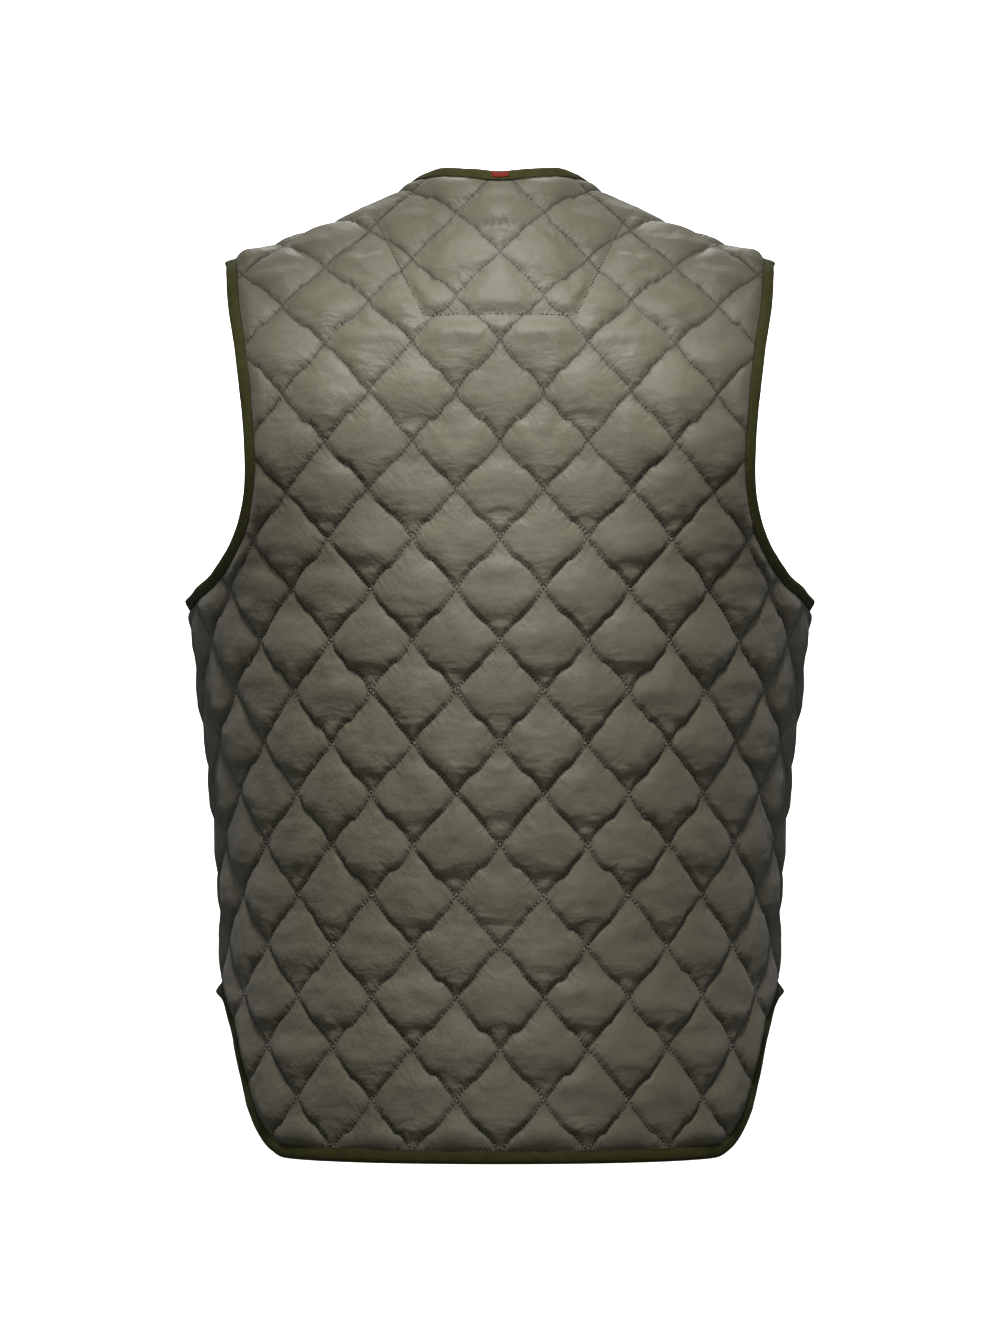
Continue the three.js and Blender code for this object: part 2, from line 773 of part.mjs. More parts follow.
function neckStation(x) {
  const outward = Math.abs(x);
  const [, edgeHeight] = backChart.flatten(outward, backNeckAt(outward));
  const cut = edgeHeight - BINDING_WIDTH - BINDING_GAP;
  const { point, normal, up } = backChart.frame(x, cut);
  return { point, normal, out: up.normalize() };
}

function makeNeckTab() {
  const face = BINDING_PROUD + SMALL_PIECE_GAP;
  const low = BINDING_GAP + BINDING_CORNER;
  const high = BINDING_GAP + BINDING_WIDTH - BINDING_CORNER;
  const section = [
    [low, face],
    [high, face],
    [high, face + TAB_THICKNESS],
    [low, face + TAB_THICKNESS],
  ];
  const stations = [-0.5, 0, 0.5].map((share) => neckStation(share * TAB_WIDTH));
  return sweepSection(stations, section, false);
}

function makeNeckLoop() {
  // A narrow band hung inside the neck, its ends sewn low and its middle standing up
  const face = -WALL - BINDING_PROUD - SMALL_PIECE_GAP;
  const section = [
    [-LOOP_BAND, face],
    [0, face],
    [0, face - LOOP_THICKNESS],
    [-LOOP_BAND, face - LOOP_THICKNESS],
  ];
  const stations = [];
  for (let i = 0; i <= LOOP_STEPS; i += 1) {
    const share = i / LOOP_STEPS * 2 - 1;
    const station = neckStation(share * LOOP_WIDTH / 2);
    station.point.addScaledVector(station.out, mix(LOOP_TOP, LOOP_END, share * share));
    stations.push(station);
  }
  return sweepSection(stations, section, false);
}

// Finishes

const finishes = {
  quilt: { color: 0x6b6858, roughness: 0.55, metalness: 0 },
  binding: { color: 0x34351a, roughness: 0.75, metalness: 0 },
  tab: { color: 0x8a2a22, roughness: 0.8, metalness: 0 },
};

function addPiece(group, name, geometry, finish) {
  const mesh = new THREE.Mesh(geometry, new THREE.MeshStandardMaterial(finishes[finish]));
  mesh.name = name;
  group.add(mesh);
}

const vest = new THREE.Group();
const backPanel = makeBack();
const frontPanel = makeFront();
const frontCloth = padPanel(frontPanel);
const armholeBinding = makeArmholeBinding(backPanel, frontPanel);
const edgeBindings = makeEdgeBindings(backPanel, frontPanel);
addPiece(vest, 'back', padPanel(backPanel), 'quilt');
addPiece(vest, 'front_left', frontCloth, 'quilt');
addPiece(vest, 'front_right', mirrored(frontCloth), 'quilt');
addPiece(vest, 'binding_armhole_left', armholeBinding, 'binding');
addPiece(vest, 'binding_armhole_right', mirrored(armholeBinding), 'binding');
addPiece(vest, 'binding_neck', edgeBindings.neck, 'binding');
addPiece(vest, 'binding_tail', edgeBindings.tail, 'binding');
addPiece(vest, 'binding_front_left', edgeBindings.front, 'binding');
addPiece(vest, 'binding_front_right', mirrored(edgeBindings.front), 'binding');
addPiece(vest, 'neck_tab', makeNeckTab(), 'tab');
addPiece(vest, 'neck_loop', makeNeckLoop(), 'quilt');

export default vest;
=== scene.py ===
"""A diamond-quilted vest with a dropped tail, filled out as if worn.

The numbers are millimetres until a mesh is made, which is in metres. +Z is up, and the wearer
faces -Y, so the back faces +Y. Each panel is flat cloth laid on the form: u runs across the
cloth from the centre and v runs up it.
"""

import math

import bpy
import numpy as np
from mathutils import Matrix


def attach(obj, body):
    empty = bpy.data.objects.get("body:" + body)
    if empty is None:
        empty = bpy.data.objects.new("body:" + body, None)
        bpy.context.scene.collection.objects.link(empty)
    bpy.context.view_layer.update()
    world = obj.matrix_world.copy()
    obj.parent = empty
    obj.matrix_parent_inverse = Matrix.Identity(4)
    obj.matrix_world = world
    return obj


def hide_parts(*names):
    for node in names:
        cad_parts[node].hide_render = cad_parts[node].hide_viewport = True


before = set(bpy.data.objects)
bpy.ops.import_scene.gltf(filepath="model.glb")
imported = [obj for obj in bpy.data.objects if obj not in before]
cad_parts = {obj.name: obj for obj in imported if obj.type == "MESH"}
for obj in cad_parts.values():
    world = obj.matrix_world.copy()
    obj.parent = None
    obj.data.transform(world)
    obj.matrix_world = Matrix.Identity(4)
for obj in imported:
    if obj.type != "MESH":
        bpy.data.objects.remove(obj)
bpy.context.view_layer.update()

# Quilted cloth
WALL = 3.0
STITCHED_WALL = 1.2
PUFF_RISE = 5.3
INNER_RISE = 2.4
LOWER_REACH = 0.4
UPPER_REACH = 0.6
BULGE = 2.0
LOWER_ROUNDNESS = 0.48
UPPER_ROUNDNESS = 0.66
CREASE_DEPTH = 2.0
DIAMOND_WIDTH = 61.6
DIAMOND_HEIGHT = 71.7
DIAMOND_STEPS = 17
LINE_CROWDING = 0.35
CROSSING_HEIGHT = -448.0
EDGE_FADE = 12.0
LINE_SPACING = 46.7

# The uncut cloth: how far it reaches from the centre, past it at the front, down and up
CLOTH_REACH = 345.0
CLOTH_PAST = 20.0
CLOTH_LOW = -705.0
CLOTH_HIGH = 130.0
CUT_MARGIN = 14.0

# A puff's lower side, as shares of its way from the side corner down to the lower corner
NOTCH_FIRST = 0.42
NOTCH_RANGE = 0.26
NOTCH_HALF = 0.02
BULGE_START = (0.03, 0.2)
BULGE_END = (0.8, 0.97)
RAGGED_START = (0.03, 0.12)
RAGGED_END = (0.88, 0.97)
RAGGED_SIZE = 1.5
RAGGED_PITCH = 3.4

# How near a quilting line the cloth moves with it, in spacings, and how near the centre it stays
MOVED_NEAR = (0.12, 0.42)
CENTRE_HOLD = (0, 9)
LINE_NUMBERS = (-16, 18)

# Gathers along the stitches: pitch, row of the random curves, height and reach
GATHERS = [(2.7, 5, 0.9, 4.0), (9.0, 11, 0.7, 11.0)]
GATHER_RAMP = 2.0
GATHER_CENTRE = (0, 8)

# The quilting lines hang lower on the upper back, and lower again near the neck: how much,
# and between which heights it sets in
UPPER_DROP = 4.0
UPPER_DROP_RISE = (-240, -150)
NECK_DROP = 2.2
NECK_DROP_RISE = (-90, -20)

# Rise of the soft folds and gathers in the outer cloth
UPRIGHT_FOLD = 3.0
LEVEL_FOLD = 2.2
NECK_FOLD = 1.2
LOW_FOLD = 0.8
GATHER_RISE = 1.2

# Gathers that run in from the bound edges
PUCKER_RISE = 1.3
PUCKER_PITCH = 5.5
PUCKER_REACH = 7.0
PUCKER_RAMP = 2.5
PUCKER_LOWEST = -0.2

# Their random patterns: size across and up the cloth, and where each one starts
PADDING_PATTERN = (34, 41, 3, 9)
PLACE_PATTERN = (60, 80, 40, 12)
UPRIGHT_PATTERN = (15, 70, 21, 5)
LEVEL_PATTERN = (52, 11, 31, 8)
SMALL_PATTERN = (8, 9, 11, 2)
LOW_PATTERN = (20, 5.5, 50, 60)

# The padding's fullness, its least and its range, and how the centre is rounded
PADDING_LEAST = 0.88
PADDING_RANGE = 0.24
CENTRE_ROUNDING = 7.0

# Where upright folds stand, by their pattern, and the low folds, by height in the puff
UPRIGHT_PLACES = (0.35, 0.6)
LOW_PLACES = (0.12, 0.5)

# How much flatter the puffs are near the shoulders and at the sides
TOP_FLATNESS = 0.1
SIDE_FLATNESS = 0.4

# Where the cloth changes: between two heights, or two distances from the centre
UPRIGHT_TOP = (-150, -110)
NECK_FOLD_RISE = (-160, -90)
FLAT_TOP_RISE = (-120, -40)
FLAT_TOP_SIDE = (80, 120)
FLAT_SIDE = (210, 320)

# Stitches
STITCH_PITCH = 2.9
STITCH_MARGIN = 1.6
QUILTING_STITCH = (1.5, 0.9, 0.45)
EDGE_STITCH = (1.6, 0.9, 0.4)
TACK_STITCH = (0.7, 0.35, 0.16)
# Size of the dark blocks of painted shade at the needle holes: length, width and rise
NEEDLE_HOLE_SHADE = (1.1, 1.1, 0.15)

# Seams and bindings
SEAM_GAP = 0.3
BINDING_GAP = 0.5
BINDING_WIDTH = 8.0
SEAM_INSET = SEAM_GAP / 2
BOUND_INSET = BINDING_WIDTH + BINDING_GAP
FRONT_OPENING = 2.0
TAPE_STEP = 2.0

# Heights that several pieces share
UNDERARM = -273.0
VENT_TOP = -560.0
FRONT_HEM = -575.0
COLUMN_BASE = -300.0
SHOULDER_ROLL = 170.0

# Height, half width, depth of the back, depth of the front, middle, back and front squareness
FORM = [
    (-700, 201, 163, 98, 0, 2, 2.2),
    (-560, 199.5, 163, 98, 0, 2, 2.2),
    (-515, 199, 164, 98, 0, 2, 2.2),
    (-430, 204.5, 170, 98, 0, 2, 2.2),
    (-345, 214.5, 176, 97, 0, 2, 2.2),
    (-285, 222, 178, 96, 1, 2, 2.2),
    (-230, 225, 162, 106, 14, 2.25, 2.3),
    (-160, 226, 139, 110, 32, 2.8, 2.4),
    (-86, 226, 119, 92, 42, 3.4, 2.6),
    (-22, 225, 97, 58, 45, 3.4, 2.6),
    (28, 224, 78, 50, 46, 3.2, 2.6),
    (80, 222, 62, 45, 46, 3.2, 2.6),
]
# Distance from the centre and height of the shoulder line
SHOULDER = [
    (0, 67),
    (38, 43.5),
    (55, 27),
    (86, 7.5),
    (120, -7),
    (155, -21),
    (195, -35.5),
    (230, -52),
]
# Distance from the centre and height of the back neck
BACK_NECK = [(0, 28.5), (20, 29.8), (38, 31), (48, 30)]
NECK_POINT = 56.0
SHOULDER_POINT = 196.0
# Height, and distance from the centre on the back and on the front
ARMHOLE = [
    (-62, 193.5, 189),
    (-100, 187.5, 180),
    (-140, 182.7, 174),
    (-180, 180, 172),
    (-210, 182, 176),
    (-235, 190, 186),
    (-253, 201, 200),
    (-264, 211.5, 211.5),
]
FRONT_NECK = [(55.5, 8), (48, -32), (33, -66), (12, -96)]
# Distance from the side seam along the cloth, and height
TAIL = [
    (12, -561.5),
    (30, -569),
    (48, -586),
    (62, -610),
    (76, -637),
    (91, -656),
    (109, -668),
    (136, -672),
]
TAIL_HEM = -672.5
FRONT_HEM_SWEEP = [(9, -562.5), (24, -570), (44, -574)]
FRONT_CORNER = 26.0

# Sampling
RING_STEPS = 256
RING_SPACING = 5.0
COLUMN_STEPS = 160
COLUMN_SPACING = 3.0
PATH_STEP = 5.0
PATH_RUNOUT = 70.0
TANGENT_STEP = 0.5
SNAP = 0.5
SETTLE_ROUNDS = 6
RIDGE_REACH = 22.0
BISECTIONS = 16

random_values = np.random.default_rng(7).random((64, 64))


def mix(low, high, share):
    return low * (1 - share) + high * share


def smooth_table(rows, column):
    """A curve through a table's rows that never overshoots between two rows."""
    keys, values = np.array(sorted(rows), float).T[[0, column]]
    span = np.diff(keys)
    slopes = np.diff(values) / span
    tangents = np.zeros(len(keys))
    tangents[0] = slopes[0]
    tangents[-1] = slopes[-1]
    for i in range(1, len(keys) - 1):
        if slopes[i - 1] * slopes[i] > 0:
            tangents[i] = 2 / (1 / slopes[i - 1] + 1 / slopes[i])

    def read(value):
        inside = np.clip(value, keys[0], keys[-1])
        i = np.clip(np.searchsorted(keys, inside, side="right") - 1, 0, len(span) - 1)
        t = (inside - keys[i]) / span[i]
        rise = t * t * (3 - 2 * t)
        bend_start = t * (1 - t) ** 2 * span[i] * tangents[i]
        bend_end = t * t * (t - 1) * span[i] * tangents[i + 1]
        return mix(values[i], values[i + 1], rise) + bend_start + bend_end

    return read


half_width_at = smooth_table(FORM, 1)
middle_at = smooth_table(FORM, 4)
shoulder_at = smooth_table(SHOULDER, 1)
back_neck_at = smooth_table(BACK_NECK, 1)


def bracket(value_at, count, target):
    """For each target, the step of its rising list that holds it, and how far along it."""
    low = np.zeros(np.shape(target), int)
    high = np.full(np.shape(target), count - 1)
    while np.any(high - low > 1):
        middle = (low + high) // 2
        below = value_at(middle) <= target
        low = np.where(below, middle, low)
        high = np.where(below, high, middle)
    start = value_at(low)
    share = (target - start) / np.maximum(value_at(high) - start, 1e-9)
    return low, np.clip(share, 0, 1)


def roll_over(drop):
    """How far the cloth has come round the shoulder, 0 on its line and 1 below the roll."""
    lean = 1 - np.clip(drop, 0, SHOULDER_ROLL) / SHOULDER_ROLL
    return np.sqrt(1 - lean * lean)


class Chart:
    """Lays flat cloth on the back half of the form or on the front half."""

    def __init__(self, side, depth_column, square_column):
        self.side = side
        self.depth_at = smooth_table(FORM, depth_column)
        self.square_at = smooth_table(FORM, square_column)
        self.lowest = float(FORM[0][0])
        heights = np.arange(self.lowest, FORM[-1][0] + 0.1, RING_SPACING)
        angle = np.linspace(0, math.pi / 2, RING_STEPS + 1)
        power = 2 / self.square_at(heights)[:, None]
        self.x = half_width_at(heights)[:, None] * np.sin(angle) ** power
        self.lean = np.clip(np.cos(angle), 0, 1) ** power
        depth = self.depth_at(heights)[:, None]
        steps = np.hypot(np.diff(self.x, axis=1), depth * np.diff(self.lean, axis=1))
        self.length = np.pad(np.cumsum(steps, axis=1), ((0, 0), (1, 0)))
        self.columns = self.measure_columns()

    def measure_columns(self):
        """Cloth height at equal steps of reach, where the drop is reach squared."""
        x = np.arange(0, SHOULDER[-1][0] + 0.1, COLUMN_SPACING)[:, None]
        reach = 1 - np.arange(COLUMN_STEPS + 1) / COLUMN_STEPS
        top = shoulder_at(x)
        drop = (top - COLUMN_BASE) * reach * reach
        z = top - drop
        square = self.square_at(z)
        lean = (1 - np.minimum(x / half_width_at(z), 1) ** square) ** (1 / square)
        y = self.side * middle_at(z) + self.depth_at(z) * lean * roll_over(drop)
        steps = np.hypot(np.diff(y, axis=1), np.diff(z, axis=1))
        return COLUMN_BASE + np.pad(np.cumsum(steps, axis=1), ((0, 0), (1, 0)))

    def rings_at(self, z):
        place = (z - self.lowest) / RING_SPACING
        index = np.clip(np.floor(place).astype(int), 0, len(self.x) - 2)
        return index, place - index

    def read_rings(self, z, keys, place, tables):
        """The tables' values between two rings, at a place on the keys' scale."""
        index, share = self.rings_at(z)
        found = []
        for ring in (index, index + 1):
            low, part = bracket(lambda i: keys[ring, i], RING_STEPS + 1, place)
            found.append([mix(table[ring, low], table[ring, low + 1], part) for table in tables])
        return [mix(lower, upper, share) for lower, upper in zip(*found)]

    def across_at(self, u, z):
        return self.read_rings(z, self.length, u, (self.x, self.lean))

    def seam_at(self, z):
        index, share = self.rings_at(np.asarray(z, float))
        return mix(self.length[index, -1], self.length[index + 1, -1], share)

    def column_at(self, x):
        place = x / COLUMN_SPACING
        index = np.minimum(np.floor(place).astype(int), len(self.columns) - 2)
        share = place - index
        return lambda i: mix(self.columns[index, i], self.columns[index + 1, i], share)

    def height_at(self, x, v):
        top = shoulder_at(x)
        low, share = bracket(self.column_at(x), COLUMN_STEPS + 1, v)
        reach = 1 - (low + share) / COLUMN_STEPS
        drop = (top - COLUMN_BASE) * reach * reach
        below = v <= COLUMN_BASE
        return np.where(below, v, top - drop), np.where(below, top - v, drop)

    def flatten(self, x, z):
        """The cloth coordinates of places given by distance from the centre and height."""
        x = np.asarray(x, float)
        z = np.asarray(z, float)
        (u,) = self.read_rings(z, self.x, x, (self.length,))
        top = shoulder_at(x)
        reach = np.sqrt(np.clip((top - z) / (top - COLUMN_BASE), 0, 1))
        place = (1 - reach) * COLUMN_STEPS
        low = np.minimum(np.floor(place).astype(int), COLUMN_STEPS - 1)
        length_at = self.column_at(x)
        v = mix(length_at(low), length_at(low + 1), place - low)
        return u, np.where(z <= COLUMN_BASE, z, v)

    def place(self, u, v):
        outward = np.abs(u)
        z = np.minimum(v, 0.0)
        drop = np.zeros_like(z)
        x, lean = self.across_at(outward, z)
        for _ in range(SETTLE_ROUNDS):
            z, drop = self.height_at(x, v)
            x, lean = self.across_at(outward, z)
        reach = self.depth_at(z) * lean * roll_over(drop)
        return np.stack([np.sign(u) * x, middle_at(z) + self.side * reach, z], axis=-1)

    def eased_place(self, u, v):
        """Points of the cloth, with the form's ridge down the middle rounded off."""
        u, v = np.broadcast_arrays(u, v)
        point = self.place(u, v)
        near = np.abs(u) < 2 * RIDGE_REACH
        if not near.any():
            return point
        offsets = np.linspace(-RIDGE_REACH, RIDGE_REACH, 23)
        weights = 1 + np.cos(math.pi * offsets / (RIDGE_REACH + 1))
        total = sum(
            weight * self.place(u[near] + offset, v[near])
            for offset, weight in zip(offsets, weights)
        )
        share = 1 - smooth_step(RIDGE_REACH, 2 * RIDGE_REACH, np.abs(u[near]))[..., None]
        point[near] = mix(point[near], total / weights.sum(), share)
        return point

    def frame(self, u, v):
        """Points of the cloth, which way the cloth faces there, and its two directions."""
        u = np.asarray(u, float)
        v = np.asarray(v, float)
        inward = np.where(u < 0, -TANGENT_STEP, TANGENT_STEP)
        point = self.eased_place(u, v)
        along = (point - self.eased_place(u - inward, v)) / inward[..., None]
        up = (point - self.eased_place(u, v - TANGENT_STEP)) / TANGENT_STEP
        normal = unit(np.cross(along, up)) * -self.side
        return point, normal, along, up


def unit(vectors):
    return vectors / np.maximum(np.linalg.norm(vectors, axis=-1, keepdims=True), 1e-12)


back_chart = Chart(1, 2, 5)
front_chart = Chart(-1, 3, 6)


def spline(points):
    """A smooth path through the points, in equal steps."""
    given = np.array([(float(u), float(v)) for u, v in points])
    padded = np.concatenate([given[:1], given, given[-1:]])
    t = np.linspace(0, 1, 24, endpoint=False)[:, None]
    parts = []
    for i in range(len(given) - 1):
        before, start, end, after = padded[i : i + 4]
        tangent_in = (end - before) / 2
        tangent_out = (after - start) / 2
        cubic = (2 * start - 2 * end + tangent_in + tangent_out) * t**3
        square = (-3 * start + 3 * end - 2 * tangent_in - tangent_out) * t**2
        parts.append(cubic + square + tangent_in * t + start)
    return resample(np.concatenate([*parts, given[-1:]]), PATH_STEP)


def step_lengths(path):
    return np.linalg.norm(np.diff(path, axis=0), axis=1)


def resample(path, step):
    """The same path in equal steps, close to the given one."""
    along = np.concatenate([[0], np.cumsum(step_lengths(path))])
    count = max(int(math.ceil(along[-1] / step)), 2)
    places = np.linspace(0, along[-1], count + 1)
    return np.stack([np.interp(places, along, path[:, k]) for k in range(path.shape[1])], axis=1)


def make_edge(name, path, inset):
    """An edge of a flat pattern piece, cloth on its left, run out straight at both ends."""
    path = np.asarray(path, float)

    def run_out(end, inner):
        return end + (end - inner) * PATH_RUNOUT / np.linalg.norm(end - inner)

    start = run_out(path[0], path[1])
    finish = run_out(path[-1], path[-2])
    return {"name": name, "points": np.concatenate([[start], path, [finish]]), "inset": inset}


def measure_to_edge(edge, u, v):
    """Distance inside the edge's cut line, the way out of the cloth, and the place along."""
    u = np.asarray(u, float)
    v = np.asarray(v, float)
    points = edge["points"]
    nearest = np.full(u.shape, np.inf)
    inside = np.zeros(u.shape)
    out_u = np.zeros(u.shape)
    out_v = np.zeros(u.shape)
    along = np.zeros(u.shape)
    done = 0.0
    for (start_u, start_v), (end_u, end_v) in zip(points[:-1], points[1:]):
        step_u = end_u - start_u
        step_v = end_v - start_v
        length = math.hypot(step_u, step_v)
        share = ((u - start_u) * step_u + (v - start_v) * step_v) / (length * length)
        share = np.clip(share, 0, 1)
        gap_u = u - start_u - step_u * share
        gap_v = v - start_v - step_v * share
        distance = np.hypot(gap_u, gap_v)
        closer = distance < nearest
        nearest = np.where(closer, distance, nearest)
        side = np.where(step_u * gap_v - step_v * gap_u >= 0, 1.0, -1.0)
        inside = np.where(closer, side, inside)
        out_u = np.where(closer, step_v / length, out_u)
        out_v = np.where(closer, -step_u / length, out_v)
        along = np.where(closer, done + share * length, along)
        done += length
    return inside * nearest - edge["inset"], out_u, out_v, along


def depth_inside(edges, u, v):
    """Distance inside the nearest cut line."""
    return np.min([measure_to_edge(edge, u, v)[0] for edge in edges], axis=0)


def mirror_path(path):
    flipped = np.array(path, float)[::-1].copy()
    flipped[:, 0] *= -1
    return flipped


# Flat pattern edges


def armhole_path(chart, column):
    u, v = chart.flatten([row[column] for row in ARMHOLE], [row[0] for row in ARMHOLE])
    top = chart.flatten(SHOULDER_POINT, shoulder_at(SHOULDER_POINT))
    low = (chart.seam_at(UNDERARM), UNDERARM)
    return spline([top, *zip(u, v), low])


def shoulder_path(chart):
    x = np.arange(NECK_POINT - PATH_STEP, SHOULDER_POINT + PATH_STEP + 0.1, PATH_STEP)
    return np.stack(chart.flatten(x, shoulder_at(x)), axis=1)


def side_path(chart):
    z = np.arange(UNDERARM, VENT_TOP - 0.1, -PATH_STEP)
    return np.stack([chart.seam_at(z), z], axis=1)


def back_neck_path():
    x = np.array(BACK_NECK)[:, 0]
    right = list(zip(*back_chart.flatten(x, back_neck_at(x))))
    right.append(back_chart.flatten(NECK_POINT, shoulder_at(NECK_POINT)))
    left = [(-u, v) for u, v in right[:0:-1]]
    return spline([*left, *right])


def tail_path():
    right = [(back_chart.seam_at(VENT_TOP), VENT_TOP)]
    right += [(back_chart.seam_at(z) - from_seam, z) for from_seam, z in TAIL]
    left = [(-u, v) for u, v in reversed(right)]
    return spline([*right, (0, TAIL_HEM), *left])


def front_edge_path():
    """Down the neck from the shoulder, down the centre, and round to the side seam."""
    start = front_chart.flatten(NECK_POINT, shoulder_at(NECK_POINT))
    neck = list(zip(*front_chart.flatten(*zip(*FRONT_NECK))))
    centre = FRONT_OPENING / 2
    low = neck[-1][1]
    heights = [low - 18, low - 60, (low + FRONT_HEM) / 2]
    heights += [FRONT_HEM + FRONT_CORNER * 2, FRONT_HEM + FRONT_CORNER]
    bend = FRONT_CORNER * (1 - math.sqrt(0.5))
    sweep = [(front_chart.seam_at(z) - from_seam, z) for from_seam, z in FRONT_HEM_SWEEP]
    return spline(
        [
            start,
            *neck,
            *[(centre, v) for v in heights],
            (centre + bend, FRONT_HEM + bend),
            (centre + FRONT_CORNER, FRONT_HEM),
            (centre + FRONT_CORNER * 3, FRONT_HEM),
            *reversed(sweep),
            (front_chart.seam_at(VENT_TOP), VENT_TOP),
        ]
    )


def back_edges():
    edges = []
    for name, path, inset in (
        ("side", side_path(back_chart), SEAM_INSET),
        ("shoulder", shoulder_path(back_chart), SEAM_INSET),
        ("armhole", armhole_path(back_chart, 1), BOUND_INSET),
    ):
        edges.append(make_edge(name + "_left", path[::-1], inset))
        edges.append(make_edge(name + "_right", mirror_path(path[::-1]), inset))
    edges.append(make_edge("neck", back_neck_path()[::-1], BOUND_INSET))
    edges.append(make_edge("tail", tail_path()[::-1], BOUND_INSET))
    return edges


def front_edges():
    return [
        make_edge("side", side_path(front_chart)[::-1], SEAM_INSET),
        make_edge("shoulder", shoulder_path(front_chart)[::-1], SEAM_INSET),
        make_edge("armhole", armhole_path(front_chart, 2)[::-1], BOUND_INSET),
        make_edge("front_edge", front_edge_path(), BOUND_INSET),
    ]


# Quilting


def wander(x, row):
    """A smooth random curve from 0 to 1, another one for each row number."""
    count = random_values.shape[0]
    base = np.floor(x).astype(int)
    t = x - base
    t = t * t * (3 - 2 * t)
    row = np.asarray(row, int) % count
    return mix(random_values[base % count, row], random_values[(base + 1) % count, row], t)


def ripple(u, v):
    """A smooth random surface from 0 to 1."""
    count = random_values.shape[0]
    iu = np.floor(u).astype(int)
    iv = np.floor(v).astype(int)
    s = u - iu
    t = v - iv
    s = s * s * (3 - 2 * s)
    t = t * t * (3 - 2 * t)
    low, high = (
        mix(random_values[iu % count, row], random_values[(iu + 1) % count, row], s)
        for row in (iv % count, (iv + 1) % count)
    )
    return mix(low, high, t)


def waves(u, v, pattern):
    across, up, start_u, start_v = pattern
    return ripple(u / across + start_u, v / up + start_v)


def smooth_step(low, high, value):
    t = np.clip((value - low) / (high - low), 0, 1)
    return t * t * (3 - 2 * t)


def line_places(u, v):
    """Cloth places counted in quilting lines, which pass at the whole numbers."""
    across = np.abs(u) / DIAMOND_WIDTH
    up = (v - CROSSING_HEIGHT) / DIAMOND_HEIGHT
    return across + up, across - up


def cloth_places(a, b):
    """The cloth places of such counts."""
    return (a + b) / 2 * DIAMOND_WIDTH, CROSSING_HEIGHT + (a - b) / 2 * DIAMOND_HEIGHT


def bulge_at(family, number, other):
    """How far in mm a puff stands over the quilting line below it: most between its side
    corner and a notch about midway to its lower corner."""
    count = random_values.shape[0]
    cell = np.floor(other)
    row = (number * 7 + family * 31).astype(int)
    column = (cell * 5).astype(int)

    def chance(seed):
        return random_values[(row + seed) % count, (column + seed * 3) % count]

    share = other - cell if family == 0 else 1 - other + cell
    notch = NOTCH_FIRST + NOTCH_RANGE * chance(1)
    size = BULGE * (0.35 + 0.65 * chance(2)) * np.where(chance(3) < 0.2, -0.35, 1)
    past = smooth_step(notch - NOTCH_HALF, notch + NOTCH_HALF, share)
    over = smooth_step(*BULGE_START, share) * (1 - past)
    under = past * (1 - smooth_step(*BULGE_END, share)) * 0.3
    ragged = (wander(other * LINE_SPACING / RAGGED_PITCH, row + 3) - 0.5) * RAGGED_SIZE
    ragged = ragged * smooth_step(*RAGGED_START, share) * (1 - smooth_step(*RAGGED_END, share))
    return (size * (over - under) + ragged) * (-1 if family == 0 else 1)


def move_lines(u, v, sign):
    """Cloth places with the quilting lines pushed aside by the puffs, or straightened again."""
    outward = np.abs(u)
    a, b = line_places(u, v)
    moved = []
    for family, line, other in ((0, a, b), (1, b, a)):
        number = np.round(line)
        near = 1 - smooth_step(*MOVED_NEAR, np.abs(line - number))
        moved.append(line + sign * bulge_at(family, number, other) * near / LINE_SPACING)
    made_u, made_v = cloth_places(*moved)
    made_u = outward + (np.maximum(made_u, 0) - outward) * smooth_step(*CENTRE_HOLD, outward)
    drop = UPPER_DROP * smooth_step(*UPPER_DROP_RISE, v)
    drop = drop + NECK_DROP * smooth_step(*NECK_DROP_RISE, v)
    return np.sign(u) * made_u, made_v - sign * drop


def crowd(t):
    """Brings the lattice closer together at the quilting lines."""
    return t - LINE_CROWDING * np.sin(2 * math.pi * t) / (2 * math.pi)


def lay_lattice(left, right, bottom, top):
    """Small triangles whose sides follow the quilting lines."""
    steps = DIAMOND_STEPS
    low = (bottom - CROSSING_HEIGHT) / DIAMOND_HEIGHT
    high = (top - CROSSING_HEIGHT) / DIAMOND_HEIGHT
    first_i = int(math.floor((left / DIAMOND_WIDTH + low) * steps)) - 2
    last_i = int(math.ceil((right / DIAMOND_WIDTH + high) * steps)) + 2
    first_j = int(math.floor((left / DIAMOND_WIDTH - high) * steps)) - 2
    last_j = int(math.ceil((right / DIAMOND_WIDTH - low) * steps)) + 2
    i, j = np.meshgrid(
        np.arange(first_i, last_i + 1), np.arange(first_j, last_j + 1), indexing="ij"
    )
    u, v = move_lines(*cloth_places(crowd(i / steps), crowd(j / steps)), 1)
    number = np.arange(i.size).reshape(i.shape)
    near = (u > left) & (u < right) & (v > bottom) & (v < top)
    keep = near[:-1, :-1] & near[1:, 1:]
    first = number[:-1, :-1][keep]
    across = number[1:, :-1][keep]
    beside = number[:-1, 1:][keep]
    far = number[1:, 1:][keep]
    triangles = np.concatenate(
        [np.stack([first, beside, across], 1), np.stack([far, across, beside], 1)]
    )
    return u.ravel(), v.ravel(), triangles


